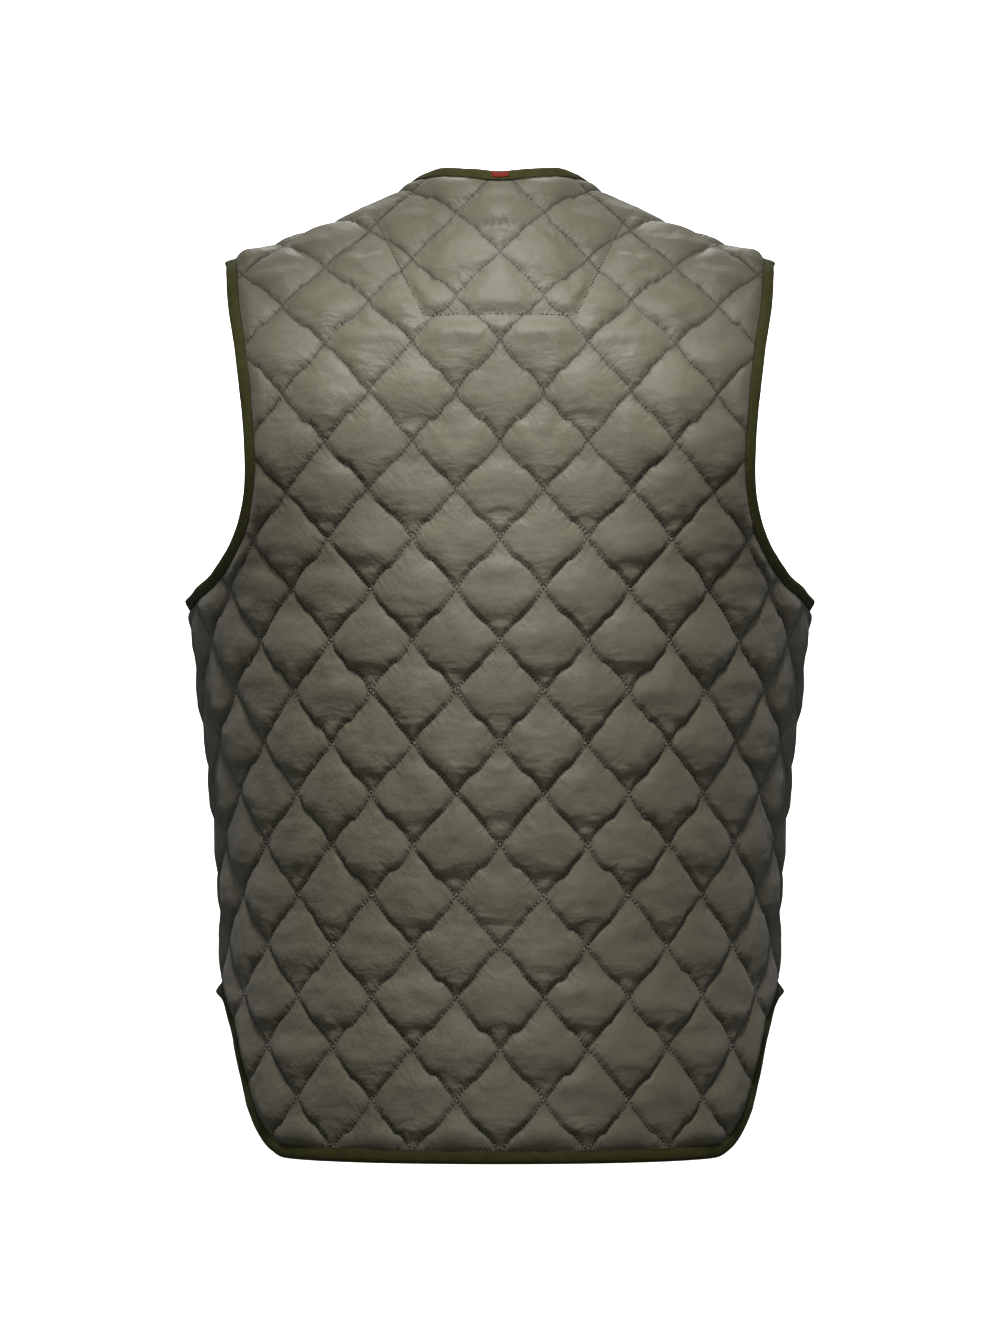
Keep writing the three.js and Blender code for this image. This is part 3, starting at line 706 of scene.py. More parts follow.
def cut_by_edge(u, v, triangles, edge):
    """Cuts the cloth along one edge's line."""
    depth, out_u, out_v, _ = measure_to_edge(edge, u, v)
    touch = np.abs(depth) < SNAP
    u = np.where(touch, u + out_u * depth, u)
    v = np.where(touch, v + out_v * depth, v)
    depth = np.where(touch, 0.0, depth)
    corners = depth[triangles]
    whole = (corners >= 0).all(1) & (corners > 0).any(1)
    crossed = (corners > 0).any(1) & (corners < 0).any(1)
    pairs = {}
    ends = []
    for triangle in triangles[crossed]:
        for a, b in ((0, 1), (1, 2), (2, 0)):
            p, q = int(triangle[a]), int(triangle[b])
            if depth[p] * depth[q] < 0:
                key = (min(p, q), max(p, q))
                if key not in pairs:
                    pairs[key] = len(u) + len(ends)
                    ends.append((p, q) if depth[p] > 0 else (q, p))
    made_u, made_v = find_cuts(edge, u, v, np.array(ends, int).reshape(-1, 2))
    pieces = []
    for triangle in triangles[crossed]:
        polygon = []
        for corner in range(3):
            p = int(triangle[corner])
            q = int(triangle[(corner + 1) % 3])
            if depth[p] >= 0:
                polygon.append(p)
            if depth[p] * depth[q] < 0:
                polygon.append(pairs[(min(p, q), max(p, q))])
        pieces += [(polygon[0], polygon[k], polygon[k + 1]) for k in range(1, len(polygon) - 1)]
    cut = np.array(pieces, int).reshape(-1, 3)
    kept = np.concatenate([triangles[whole], cut])
    return np.concatenate([u, made_u]), np.concatenate([v, made_v]), kept


def find_cuts(edge, u, v, ends):
    """The points between vertices where the cut line passes."""
    inner, outer = ends.T

    def between(share):
        return [part[inner] + (part[outer] - part[inner]) * share for part in (u, v)]

    low = np.zeros(len(ends))
    high = np.ones(len(ends))
    for _ in range(BISECTIONS):
        middle = (low + high) / 2
        within = measure_to_edge(edge, *between(middle))[0] > 0
        low = np.where(within, middle, low)
        high = np.where(within, high, middle)
    return between(low)


def cut_panel(chart, edges, left, right):
    u, v, triangles = lay_lattice(left, right, CLOTH_LOW, CLOTH_HIGH)
    depth = depth_inside(edges, u, v)
    triangles = triangles[(depth[triangles] > -CUT_MARGIN).all(1)]
    for edge in edges:
        u, v, triangles = cut_by_edge(u, v, triangles, edge)
    used, order = np.unique(triangles, return_inverse=True)
    return {
        "chart": chart,
        "edges": edges,
        "u": u[used],
        "v": v[used],
        "triangles": order.reshape(-1, 3),
    }


def edge_share(panel, u, v):
    """0 on the panel's cut edges and 1 where the padding is full."""
    share = np.clip(depth_inside(panel["edges"], u, v) / EDGE_FADE, 0, 1)
    return share * (2 - share)


def dome_at(u, v):
    """The puffs between the quilting lines, gathered unevenly along the stitches."""
    u, v = move_lines(u, v, -1)
    a, b = line_places(u, v)
    dome = np.ones_like(a)
    gather = np.zeros_like(a)
    lower = (LOWER_REACH, LOWER_ROUNDNESS)
    upper = (UPPER_REACH, UPPER_ROUNDNESS)
    for line, other, seed, sides in ((a, b, 7, (lower, upper)), (b, a, 19, (upper, lower))):
        first = np.floor(line)
        for side, (reach, roundness) in enumerate(sides):
            away = np.abs(line - first - side) * LINE_SPACING
            place = other * LINE_SPACING
            row = ((first + side) * 6 + side * 3 + seed).astype(int)
            climb = np.clip(away / (reach * LINE_SPACING), 0, 1)
            dome = dome * (1 - (1 - climb) ** 2) ** roundness
            ramp = np.clip(away / GATHER_RAMP, 0, 1)
            for pitch, shift, height, far in GATHERS:
                wave = wander(place / pitch, row + shift) - 0.5
                gather = gather + height * wave * np.exp(-away / far) * ramp
    return dome, gather * smooth_step(*GATHER_CENTRE, np.abs(u))


def height_in_puff(u, v):
    """0 at a puff's lowest corner and 1 at its highest."""
    a, b = line_places(*move_lines(u, v, -1))
    return (a - np.floor(a) + 1 - b + np.floor(b)) / 2


# Creases across the puffs: cloth place, half length, tilt in degrees, depth and width
CREASES = [
    (0, -432, 22, 0, 1.3, 2.6),
    (0, -505, 20, 0, 1.1, 2.2),
    (3, -290, 13, 4, 1.0, 2.4),
    (31, -471, 15, 12, 0.9, 2.2),
    (62, -437, 17, -14, 1.0, 2.4),
    (60, -580, 19, -10, 1.1, 2.4),
    (92, -402, 14, 20, 0.8, 2.0),
    (95, -545, 16, -8, 0.9, 2.4),
    (124, -364, 18, -16, 1.0, 2.4),
    (121, -508, 15, 10, 0.8, 2.0),
    (30, -615, 16, 8, 0.9, 2.2),
    (124, -580, 19, -8, 1.0, 2.6),
    (0, -578, 15, 0, 0.9, 2.0),
    (31, -330, 14, 10, 0.8, 2.2),
    (93, -330, 15, -12, 0.9, 2.2),
    (60, -222, 16, 8, 0.8, 2.2),
    (0, -218, 16, 0, 0.9, 2.4),
    (0, -76, 18, 0, 0.9, 2.4),
    (62, -150, 15, -10, 0.8, 2.2),
    (123, -222, 14, 14, 0.9, 2.2),
    (154, -470, 16, -18, 0.9, 2.2),
    (154, -400, 12, 12, 0.8, 2.0),
    (185, -436, 15, -10, 0.9, 2.2),
    (185, -580, 12, 12, 0.8, 2.0),
    (216, -400, 14, -14, 0.9, 2.2),
    (218, -545, 14, 16, 0.8, 2.0),
    (247, -436, 15, -10, 0.9, 2.2),
    (247, -508, 12, 14, 0.8, 2.0),
]

# Creases round the back neck: the same, from x and height, and how far their ends bend down
NECK_CREASES = [
    (0, -14, 17, 0, 1.5, 2.0, 0.5),
    (0, 9, 40, 0, 1.0, 2.0, 11.0),
    (53, -29, 17, 2, 0.9, 1.6, 0.5),
    (50, -34, 15, -4, 0.7, 1.5, 0.5),
    (46, -25, 12, 6, 0.6, 1.4, 0.5),
    (36, -20, 13, -30, 0.8, 1.8, 1.0),
    (62, -66, 14, 12, 0.9, 1.8, 1.5),
    (68, -58, 12, 16, 0.7, 1.6, 1.5),
    (40, -52, 14, -8, 0.7, 1.8, 1.0),
    (86, -30, 16, -20, 0.9, 1.8, 2.0),
    (100, -48, 15, 24, 0.8, 1.8, 2.0),
    (118, -60, 14, -12, 0.8, 1.8, 2.0),
    (96, -86, 15, 10, 0.8, 2.0, 2.0),
    (140, -74, 14, 16, 0.8, 1.8, 2.0),
]
CREASE_BEND = 2.0
CREASE_SOFTNESS = 1.5
UPPER_CREASE = 0.6
UPPER_CREASE_RISE = (-130, -90)


def crease_at(u, v):
    """Short soft troughs, placed one by one."""
    outward = np.abs(u)
    depth = np.zeros_like(outward)
    for at_u, at_v, half, tilt, deep, wide, bend in all_creases:
        turn = math.radians(tilt)
        along = (outward - at_u) * math.cos(turn) + (v - at_v) * math.sin(turn)
        away = (v - at_v) * math.cos(turn) - (outward - at_u) * math.sin(turn)
        away = away + bend * (along / half) ** 2
        taper = np.clip(1 - (along / half) ** 2, 0, 1)
        depth = depth + deep * taper * np.exp(-((away / wide / CREASE_SOFTNESS) ** 2))
    return depth * (1 + UPPER_CREASE * smooth_step(*UPPER_CREASE_RISE, v))


def place_creases():
    u, v = back_chart.flatten(*np.array(NECK_CREASES).T[:2])
    placed = [(float(a), float(b), *row[2:]) for a, b, row in zip(u, v, NECK_CREASES)]
    return [(*row, CREASE_BEND) for row in CREASES] + placed


all_creases = place_creases()


def cloth_height(panel, u, v):
    """How far the outside of the cloth stands from the form, and the same for its inside."""
    share = edge_share(panel, u, v)
    dome, gather = dome_at(u, v)
    outward = np.hypot(u, CENTRE_ROUNDING)
    soft = PADDING_LEAST + PADDING_RANGE * waves(outward, v, PADDING_PATTERN)
    upright = smooth_step(*UPRIGHT_PLACES, waves(outward, v, PLACE_PATTERN))
    upright = upright * (1 - smooth_step(*UPRIGHT_TOP, v))
    fold = (waves(outward, v, UPRIGHT_PATTERN) - 0.5) * UPRIGHT_FOLD * upright
    level = LEVEL_FOLD + NECK_FOLD * smooth_step(*NECK_FOLD_RISE, v)
    fold = fold + (waves(outward, v, LEVEL_PATTERN) - 0.5) * level * (1 - upright)
    fold = fold + waves(outward, v, SMALL_PATTERN) - 0.5
    low = 1 - smooth_step(*LOW_PLACES, height_in_puff(u, v))
    fold = fold + (waves(outward, v, LOW_PATTERN) - 0.5) * (0.5 + LOW_FOLD * low)
    full = PUFF_RISE * dome * soft + GATHER_RISE * gather * dome**0.4
    full = full + fold * dome - CREASE_DEPTH * crease_at(u, v) * dome**0.7
    full = full * facing_pinch(panel, u, v)
    flat_top = TOP_FLATNESS * (1 - smooth_step(*FLAT_TOP_SIDE, outward))
    flat_top = flat_top * smooth_step(*FLAT_TOP_RISE, v)
    full = full * (1 - SIDE_FLATNESS * smooth_step(*FLAT_SIDE, outward)) * (1 - flat_top)
    outside = np.maximum(full, 0) * share + hem_puckers(panel, u, v)
    return outside, -mix(WALL, STITCHED_WALL, share) - INNER_RISE * dome * share


# The line sewn through the upper back, from shoulder to shoulder
FACING = [(53.5, -77.6), (72, -39.7), (89, -6)]
FACING_FLAT = 1.6
FACING_REACH = (7.0, 12.0)
FACING_LOWEST = 0.3


def facing_line():
    right = list(zip(*back_chart.flatten(*zip(*FACING))))
    level = right[0][1]
    return np.array([(0.0, level), (right[0][0] * 0.5, level), *right], float)


facing_points = facing_line()


def facing_pinch(panel, u, v):
    """How much of their height the puffs keep beside the sewn line."""
    if panel["chart"] is not back_chart:
        return 1.0
    depth = measure_to_edge({"points": facing_points, "inset": 0}, np.abs(u), v)[0]
    reach = np.where(depth > 0, *FACING_REACH)
    roundness = np.where(depth > 0, LOWER_ROUNDNESS, UPPER_ROUNDNESS)
    climb = np.clip((np.abs(depth) - FACING_FLAT) / reach, 0, 1)
    return mix(FACING_LOWEST, 1.0, (1 - (1 - climb) ** 2) ** roundness)


def hem_puckers(panel, u, v):
    """Small gathers that run into the cloth from the bound edges."""
    total = np.zeros_like(np.asarray(u, float))
    for number, edge in enumerate(panel["edges"]):
        if edge["inset"] < 1:
            continue
        depth, _, _, along = measure_to_edge(edge, u, v)
        middle = step_lengths(edge["points"]).sum() / 2
        place = np.abs(along - middle) if edge["name"] in ("neck", "tail") else along
        wave = wander(place / PUCKER_PITCH, 33 + number // 2) - 0.35
        near = np.exp(-np.maximum(depth, 0) / PUCKER_REACH) * np.clip(depth / PUCKER_RAMP, 0, 1)
        total = total + PUCKER_RISE * wave * near
    return np.maximum(total, PUCKER_LOWEST)


def add_object(name, data):
    made = bpy.data.objects.new(name, data)
    bpy.context.scene.collection.objects.link(made)
    return made


def make_mesh(name, points, faces, coordinates=None):
    """A smooth mesh object from points in millimetres."""
    mesh = bpy.data.meshes.new(name)
    points = np.asarray(points, float) / 1000
    faces = np.asarray(faces, int)
    mesh.from_pydata(points.tolist(), [], faces.tolist())
    if coordinates is not None:
        layer = mesh.uv_layers.new(name="Cloth")
        corner = np.zeros(len(mesh.loops), int)
        mesh.loops.foreach_get("vertex_index", corner)
        layer.data.foreach_set("uv", np.asarray(coordinates, float)[corner].ravel())
    mesh.polygons.foreach_set("use_smooth", [True] * len(mesh.polygons))
    mesh.update()
    return add_object(name, mesh)


def pad_panel(name, panel, mirror=False):
    """The closed quilted shell of a panel."""
    u, v, triangles = panel["u"], panel["v"], panel["triangles"]
    point, normal, _, _ = panel["chart"].frame(u, v)
    outside, inner = cloth_height(panel, u, v)
    top = point + normal * outside[:, None]
    bottom = point + normal * inner[:, None]
    turned = triangles if panel["chart"].side < 0 else triangles[:, ::-1]
    count = len(u)
    ends = np.concatenate([turned[:, [0, 1]], turned[:, [1, 2]], turned[:, [2, 0]]])
    key = ends[:, 0] * count + ends[:, 1]
    back_key = ends[:, 1] * count + ends[:, 0]
    rim = ends[~np.isin(key, back_key)]
    faces = np.concatenate(
        [
            turned,
            turned[:, ::-1] + count,
            np.stack([rim[:, 1], rim[:, 0], rim[:, 0] + count], 1),
            np.stack([rim[:, 1], rim[:, 0] + count, rim[:, 1] + count], 1),
        ]
    )
    points = np.concatenate([top, bottom])
    if mirror:
        points = mirrored(points)[0]
        faces = faces[:, ::-1]
    straight_u, straight_v = move_lines(u, v, -1)
    flat = np.stack([np.tile(straight_u, 2), np.tile(straight_v, 2)], axis=1) / 1000
    return make_mesh(name, points, faces, flat)


# Bindings


def stations_along(panel, name):
    """Where a binding is sewn on: places along the panel's cut edge, in even steps."""
    edge = next(edge for edge in panel["edges"] if edge["name"] == name)
    fine = resample(edge["points"], 0.5)
    tangent = unit(np.gradient(fine, axis=0))
    out = np.stack([tangent[:, 1], -tangent[:, 0]], axis=1)
    line = fine - out * edge["inset"]
    others = [other for other in panel["edges"] if other is not edge]
    depth = depth_inside(others, line[:, 0], line[:, 1])
    held = np.flatnonzero(depth >= 0)
    first = held[np.argmin(np.abs(held - len(line) / 2))]
    start = end = first
    while start > 0 and depth[start - 1] >= 0:
        start -= 1
    while end < len(line) - 1 and depth[end + 1] >= 0:
        end += 1
    kept = resample(np.concatenate([line, out], axis=1)[start : end + 1], TAPE_STEP)
    point, normal, along, up = panel["chart"].frame(kept[:, 0], kept[:, 1])
    way = unit(along * kept[:, 2:3] + up * kept[:, 3:4])
    return {"point": point, "normal": normal, "out": way}


def ring_of_stations(first, second):
    """One closed line from two panels' stations, the second taken backwards."""
    return {key: np.concatenate([first[key], second[key][::-1]]) for key in first}


def eased_ring(part, rounds):
    """Evens out a ring's directions where two panels' edges meet."""
    eased = dict(part)
    for key in ("out", "normal"):
        values = eased[key]
        for _ in range(rounds):
            values = unit(np.roll(values, 1, axis=0) + 2 * values + np.roll(values, -1, axis=0))
        eased[key] = values
    return eased


def flared_stations(part, level, reach, amount):
    """Turns the tape's free edge outwards where the side seam meets it."""
    point = part["point"]
    near = np.exp(-((point[:, 1] / reach) ** 2)) * (np.abs(point[:, 2] - level) < 40)
    way = unit(part["out"] + part["normal"] * (amount * near)[:, None])
    return {"point": point, "normal": part["normal"], "out": way}


# A folded tape's outer line: distance out of the panel's cut edge, and height
TAPE_LINE = [
    (-1.3, 0.75),
    (-0.9, 1.15),
    (0.6, 1.35),
    (3.0, 1.55),
    (5.6, 1.5),
    (7.4, 1.1),
    (8.3, 0.2),
    (8.6, -1.5),
    (8.3, -3.2),
    (7.4, -4.1),
    (5.6, -4.5),
    (3.0, -4.55),
    (0.6, -4.35),
    (-0.9, -4.15),
    (-1.3, -3.75),
]
TAPE_THICKNESS = 0.5

# A tape's unevenness: pitch and size of its swelling, then of its slipping in and out
SWELL = (9.0, 0.5)
SLIP = (14.0, 0.6)
SMOOTH_CLOSE = 12.0

# Its stitches: how far inside the panel's cut edge, and how high outside and inside
EDGE_LINE = 0.9
EDGE_LINE_OUTSIDE = 1.3
EDGE_LINE_INSIDE = -4.3


def tape_section():
    """The closed outline of the folded tape, outer line then inner line."""
    outer = np.array(TAPE_LINE)
    way = unit(np.gradient(outer, axis=0))
    inward = np.stack([way[:, 1], -way[:, 0]], axis=1)
    return np.concatenate([outer, (outer + inward * TAPE_THICKNESS)[::-1]])


def sweep(name, stations, beyond, above, closed, pitch):
    """A mesh swept along stations, from distances out of the edge and heights at each one."""
    count, corners = beyond.shape
    points = (
        stations["point"][:, None, :]
        + stations["out"][:, None, :] * beyond[:, :, None]
        + stations["normal"][:, None, :] * above[:, :, None]
    )
    spans = count if closed else count - 1
    here = (np.arange(spans) * corners)[:, None]
    following = ((np.arange(spans) + 1) % count * corners)[:, None]
    j = np.arange(corners)[None, :]
    k = (j + 1) % corners
    first = np.stack([here + j, following + j, following + k], axis=-1).reshape(-1, 3)
    second = np.stack([here + j, following + k, here + k], axis=-1).reshape(-1, 3)
    faces = [first, second]
    if not closed:
        far = (count - 1) * corners
        for m in range(corners // 2 - 1):
            a, b, c, d = m, m + 1, corners - 2 - m, corners - 1 - m
            faces.append(np.array([[a, b, c], [a, c, d]]))
            faces.append(np.array([[c, b, a], [d, c, a]]) + far)
    faces = np.concatenate(faces)
    steps = np.hypot(np.diff(beyond[0]), np.diff(above[0]))
    across = np.tile(np.concatenate([[0], np.cumsum(steps)]), count)
    along = np.repeat(np.arange(count) * pitch, corners)
    flat = np.stack([along, across], axis=1) / 1000
    points = points.reshape(-1, 3)
    if signed_volume(points, faces) < 0:
        faces = faces[:, ::-1]
    return make_mesh(name, points, faces, flat), points, faces, flat


def fold_tape(name, stations, closed, seed):
    """A tape folded round an edge, a little uneven along its length."""
    section = tape_section()
    place = np.arange(len(stations["point"])) * TAPE_STEP
    swell = (wander(place / SWELL[0], seed) - 0.5) * SWELL[1]
    slip = (wander(place / SLIP[0], seed + 9) - 0.5) * SLIP[1]
    if closed:
        ease = np.clip(np.minimum(place, place[-1] - place) / SMOOTH_CLOSE, 0, 1)
        swell = swell * ease
        slip = slip * ease
    beyond = section[:, 0][None, :] + slip[:, None] * (section[:, 0] < 2)[None, :]
    middle = section[:, 1].mean()
    above = section[:, 1][None, :] + swell[:, None] * np.sign(section[:, 1] - middle)[None, :]
    return sweep(name, stations, beyond, above, closed, TAPE_STEP)


# Red tab's section on the face of the neck tape
TAB_SECTION = [
    (2.0, 1.85),
    (2.3, 2.15),
    (4.4, 2.3),
    (6.4, 2.2),
    (6.8, 1.9),
    (6.6, 1.65),
    (6.2, 1.72),
    (4.4, 1.8),
    (2.5, 1.72),
    (2.2, 1.62),
]
TAB_HALF = 6.0
TAB_DROP = 1.4

# Hanging loop's section behind the neck tape, from its arched upper edge
LOOP_SECTION = [
    (-6.0, -5.2),
    (-5.5, -5.0),
    (-3.0, -4.9),
    (-0.5, -5.0),
    (0.0, -5.25),
    (0.0, -5.7),
    (-0.5, -5.9),
    (-3.0, -6.0),
    (-5.5, -5.9),
    (-6.0, -5.7),
]
LOOP_HALF = 17.0
LOOP_TOP = 10.6
LOOP_END = 1.5


def neck_stations(x):
    level = back_chart.flatten(np.abs(x), back_neck_at(np.abs(x)))[1]
    point, normal, _, up = back_chart.frame(x, level - BOUND_INSET)
    return {"point": point, "normal": normal, "out": up}


def make_tab(name):
    """A short folded ribbon with soft ends, lying on the neck tape."""
    x = np.linspace(-TAB_HALF, TAB_HALF, 25)
    section = np.array(TAB_SECTION)
    share = np.abs(x) / TAB_HALF
    pinch = 1 - 0.07 * share**6
    lift = 0.12 * np.sin(x * 0.9) + 0.1 * share**4
    beyond = 4.4 + (section[:, 0] - 4.4)[None, :] * pinch[:, None]
    above = section[:, 1][None, :] + lift[:, None]
    return sweep(name, neck_stations(x), beyond - TAB_DROP, above, False, 0.5)[0]


def make_loop(name):
    """A narrow folded strip, arched above the neck tape and sewn down at both ends."""
    x = np.linspace(-LOOP_HALF, LOOP_HALF, 49)
    section = np.array(LOOP_SECTION)
    share = np.abs(x) / LOOP_HALF
    rise = LOOP_TOP + (LOOP_END - LOOP_TOP) * share**2
    buckle = 0.25 * np.sin(x * 0.55) * (1 - share)
    beyond = section[:, 0][None, :] + (rise + buckle)[:, None]
    above = section[:, 1][None, :] - (0.5 * (1 - share**2))[:, None]
    return sweep(name, neck_stations(x), beyond, above, False, 0.7)[0]


def tack_ends(name, half, low, high, height, facing):
    """Rows of stitches that hold both ends of a strip to the neck tape."""
    count = 6
    x = np.repeat([-half + 0.9, half - 0.9], count)
    stations = neck_stations(x)
    run = np.tile(np.linspace(low, high, count), 2)[:, None]
    place = stations["point"] + stations["out"] * run + stations["normal"] * height
    return lay_stitches(name, place, stations["out"], stations["normal"] * facing, TACK_STITCH)


def signed_volume(points, faces):
    a, b, c = (points[faces[:, k]] for k in range(3))
    return float(np.einsum("ij,ij->i", a, np.cross(b, c)).sum())


def mirrored(*parts):
    """Points or directions on the other side of the wearer's middle."""
    return [part * np.array([-1, 1, 1]) for part in parts]


def mirror_mesh(name, points, faces, flat):
    return make_mesh(name, mirrored(points)[0], faces[:, ::-1], flat)


# Sewing


def lay_stitches(name, points, directions, normals, size):
    """Short raised threads, all in one mesh, which also make the dark blocks of painted shade at
    needle holes. Their size is length, width and rise.
    """
    length, width, rise = size
    side = unit(np.cross(normals, directions))
    shape = [
        (-0.5, -0.5, -0.3),
        (0.5, -0.5, -0.3),
        (0.5, 0.5, -0.3),
        (-0.5, 0.5, -0.3),
        (-0.32, 0.0, 1.0),
        (0.32, 0.0, 1.0),
    ]
    corners = [
        points + directions * (x * length) + side * (y * width) + normals * (z * rise)
        for x, y, z in shape
    ]
    block = np.stack(corners, axis=1)
    triangles = np.array(
        [(0, 1, 5), (0, 5, 4), (2, 3, 4), (2, 4, 5), (1, 2, 5), (3, 0, 4), (0, 3, 2), (0, 2, 1)]
    )
    faces = (np.arange(len(points)) * 6)[:, None, None] + triangles[None]
    return make_mesh(name, block.reshape(-1, 3), faces.reshape(-1, 3))


def quilting_stitches(panel):
    """Places and directions of the stitches along a panel's quilting lines, and how far the
    puffs push each stitch aside."""
    places = []
    ways = []
    step = STITCH_PITCH / math.hypot(DIAMOND_WIDTH, DIAMOND_HEIGHT) * 2
    first, last = LINE_NUMBERS
    run = np.arange(round(first / step), round(last / step)) * step
    for number in range(first, last):
        line = np.full_like(run, number)
        for a, b, rise in ((line, run, -DIAMOND_HEIGHT), (run, line, DIAMOND_HEIGHT)):
            places.append(np.stack(cloth_places(a, b), axis=1))
            ways.append(np.tile([DIAMOND_WIDTH, rise], (len(run), 1)))
    u, v = np.concatenate(places).T
    way = unit(np.concatenate(ways))
    near = (u > panel["u"].min()) & (u < panel["u"].max())
    near &= (v > panel["v"].min()) & (v < panel["v"].max())
    u, v, way = u[near], v[near], way[near]
    moved_u, moved_v = move_lines(u, v, 1)
    hidden = np.hypot(moved_u - u, moved_v - v) / BULGE
    keep = depth_inside(panel["edges"], moved_u, moved_v) > STITCH_MARGIN
    return moved_u[keep], moved_v[keep], way[keep], hidden[keep]


def lay_on_cloth(panel, u, v, way, lift):
    """Points over the outside of the cloth, directions along it, and which way it faces."""
    point, normal, along, up = panel["chart"].frame(u, v)
    outside, _ = cloth_height(panel, u, v)
    direction = unit(along * way[:, 0:1] + up * way[:, 1:2])
    return point + normal * (outside + lift)[:, None], direction, normal


def sew_panel(name, panel, mirror=False):
    """The stitches on the outside of a panel."""
    u, v, way, hidden = quilting_stitches(panel)
    if panel["chart"] is back_chart:
        facing = resample(facing_points, STITCH_PITCH)
        facing_way = unit(np.gradient(facing, axis=0))
        for sign in (1, -1):
            u = np.concatenate([u, facing[:, 0] * sign])
            v = np.concatenate([v, facing[:, 1]])
            way = np.concatenate([way, facing_way * np.array([sign, 1])])
            hidden = np.concatenate([hidden, np.zeros(len(facing))])
        keep = depth_inside(panel["edges"], u, v) > STITCH_MARGIN
        u, v, way, hidden = (part[keep] for part in (u, v, way, hidden))
    place, direction, normal = lay_on_cloth(panel, u, v, way, 0.12 - 0.5 * hidden)
    if mirror:
        place, direction, normal = mirrored(place, direction, normal)
    return lay_stitches(name, place, direction, normal, QUILTING_STITCH)


def paint_facing_hole_shade(name, panel):
    """Dark blocks of painted shade at the needle holes between the stitches of the line through
    the upper back.
    """
    path = resample(facing_points, STITCH_PITCH)
    way = unit(np.gradient(path, axis=0))
    middle = (path[1:] + path[:-1]) / 2
    way = unit(way[1:] + way[:-1])
    u = np.concatenate([middle[:, 0], -middle[:, 0]])
    v = np.tile(middle[:, 1], 2)
    way = np.concatenate([way, way * np.array([-1, 1])])
    keep = depth_inside(panel["edges"], u, v) > STITCH_MARGIN
    return lay_stitches(name, *lay_on_cloth(panel, u[keep], v[keep], way[keep], 0.1), NEEDLE_HOLE_SHADE)


def sew_tape(name, stations, mirror=False):
    """Edge stitching along the inner edges of a tape, outside and inside."""
    parts = [stations[key] for key in ("point", "out", "normal")]
    fine = resample(np.concatenate(parts, axis=1), STITCH_PITCH)
    point = fine[:, :3]
    out = unit(fine[:, 3:6])
    normal = unit(fine[:, 6:])
    edge = point - out * EDGE_LINE
    place = np.concatenate([edge + normal * EDGE_LINE_OUTSIDE, edge + normal * EDGE_LINE_INSIDE])
    direction = np.tile(unit(np.gradient(point, axis=0)), (2, 1))
    normal = np.concatenate([normal, -normal])
    if mirror:
        place, direction, normal = mirrored(place, direction, normal)
    return lay_stitches(name, place, direction, normal, EDGE_STITCH)


# Finishes


class Value:
    """A number or a vector among a material's nodes, to reckon with."""

    def __init__(self, tree, socket):
        self.tree = tree
        self.socket = socket

    def reckon(self, operation, *others, clamp=False):
        node = self.tree.nodes.new("ShaderNodeMath")
        node.operation = operation
        node.use_clamp = clamp
        for socket, value in zip(node.inputs, (self, *others)):
            plug(socket, value)
        return Value(self.tree, node.outputs[0])

    def __add__(self, other):
        return self.reckon("ADD", other)

    def __sub__(self, other):
        return self.reckon("SUBTRACT", other)

    def __mul__(self, other):
        return self.reckon("MULTIPLY", other)

    def __truediv__(self, other):
        return self.reckon("DIVIDE", other)

    def __abs__(self):
        return self.reckon("ABSOLUTE")

    def limited(self, factor, offset):
        """This value scaled and shifted, then kept from 0 to 1."""
        return self.reckon("MULTIPLY_ADD", factor, offset, clamp=True)

    def stretched(self, *scale):
        return add_node(self.tree, "Mapping", "Vector", {"Vector": self, "Scale": scale})

    def noise(self, scale, detail, roughness):
        inputs = {"Vector": self, "Scale": scale, "Detail": detail, "Roughness": roughness}
        return add_node(self.tree, "TexNoise", "Fac", inputs)

    def parts(self):
        node = self.tree.nodes.new("ShaderNodeSeparateXYZ")
        plug(node.inputs[0], self)
        return [Value(self.tree, output) for output in node.outputs]


def plug(socket, value):
    """Joins a value to a socket, or sets the socket to a plain number or colour."""
    if isinstance(value, Value):
        value.tree.links.new(value.socket, socket)
    else:
        socket.default_value = value


def add_node(tree, kind, output, inputs):
    """The named output of a new node with these inputs."""
    node = tree.nodes.new("ShaderNode" + kind)
    for name, value in inputs.items():
        plug(node.inputs[name], value)
    return Value(tree, node.outputs[output])


def blend(share, first, second):
    """A colour between two others."""
    node = share.tree.nodes.new("ShaderNodeMix")
    node.data_type = "RGBA"
    for place, value in ((0, share), (6, first), (7, second)):
        plug(node.inputs[place], value)
    return Value(share.tree, node.outputs[2])


def darker(colour, share):
    return tuple(share * part for part in colour[:3]) + (1.0,)


def add_bump(shader, layers):
    """Layers are (height, strength, distance in metres), laid one on another."""
    below = {}
    for height, strength, distance in layers:
        inputs = {"Height": height, "Strength": strength, "Distance": distance, **below}
        below = {"Normal": add_node(height.tree, "Bump", "Normal", inputs)}
    plug(shader.inputs["Normal"], below["Normal"])


def weave(flat, threads):
    """Crossing threads, that many to a metre."""
    along, across, _ = flat.parts()
    turn = threads * 2 * math.pi
    return (along * turn).reckon("SINE") * (across * turn).reckon("SINE")


def quilting_grid(flat):
    """For each family of quilting lines: distance from the line in metres, the line's number,
    the place along it in metres and the share of the diamond's side."""
    u, v, _ = flat.parts()
    across = abs(u) * (1000 / DIAMOND_WIDTH)
    up = (v - CROSSING_HEIGHT / 1000) * (1000 / DIAMOND_HEIGHT)
    a = across + up
    b = across - up
    length = math.hypot(DIAMOND_WIDTH, DIAMOND_HEIGHT) / 2000
    found = []
    for line, other in ((a, b), (b, a)):
        number = line.reckon("ROUND")
        away = abs(line - number) * (LINE_SPACING / 1000)
        found.append((away, number, other * length, other.reckon("FRACT")))
    return found


def fading(distance, reach):
    """1 on a line and falling off with distance from it."""
    return (distance / -reach).reckon("EXPONENT")


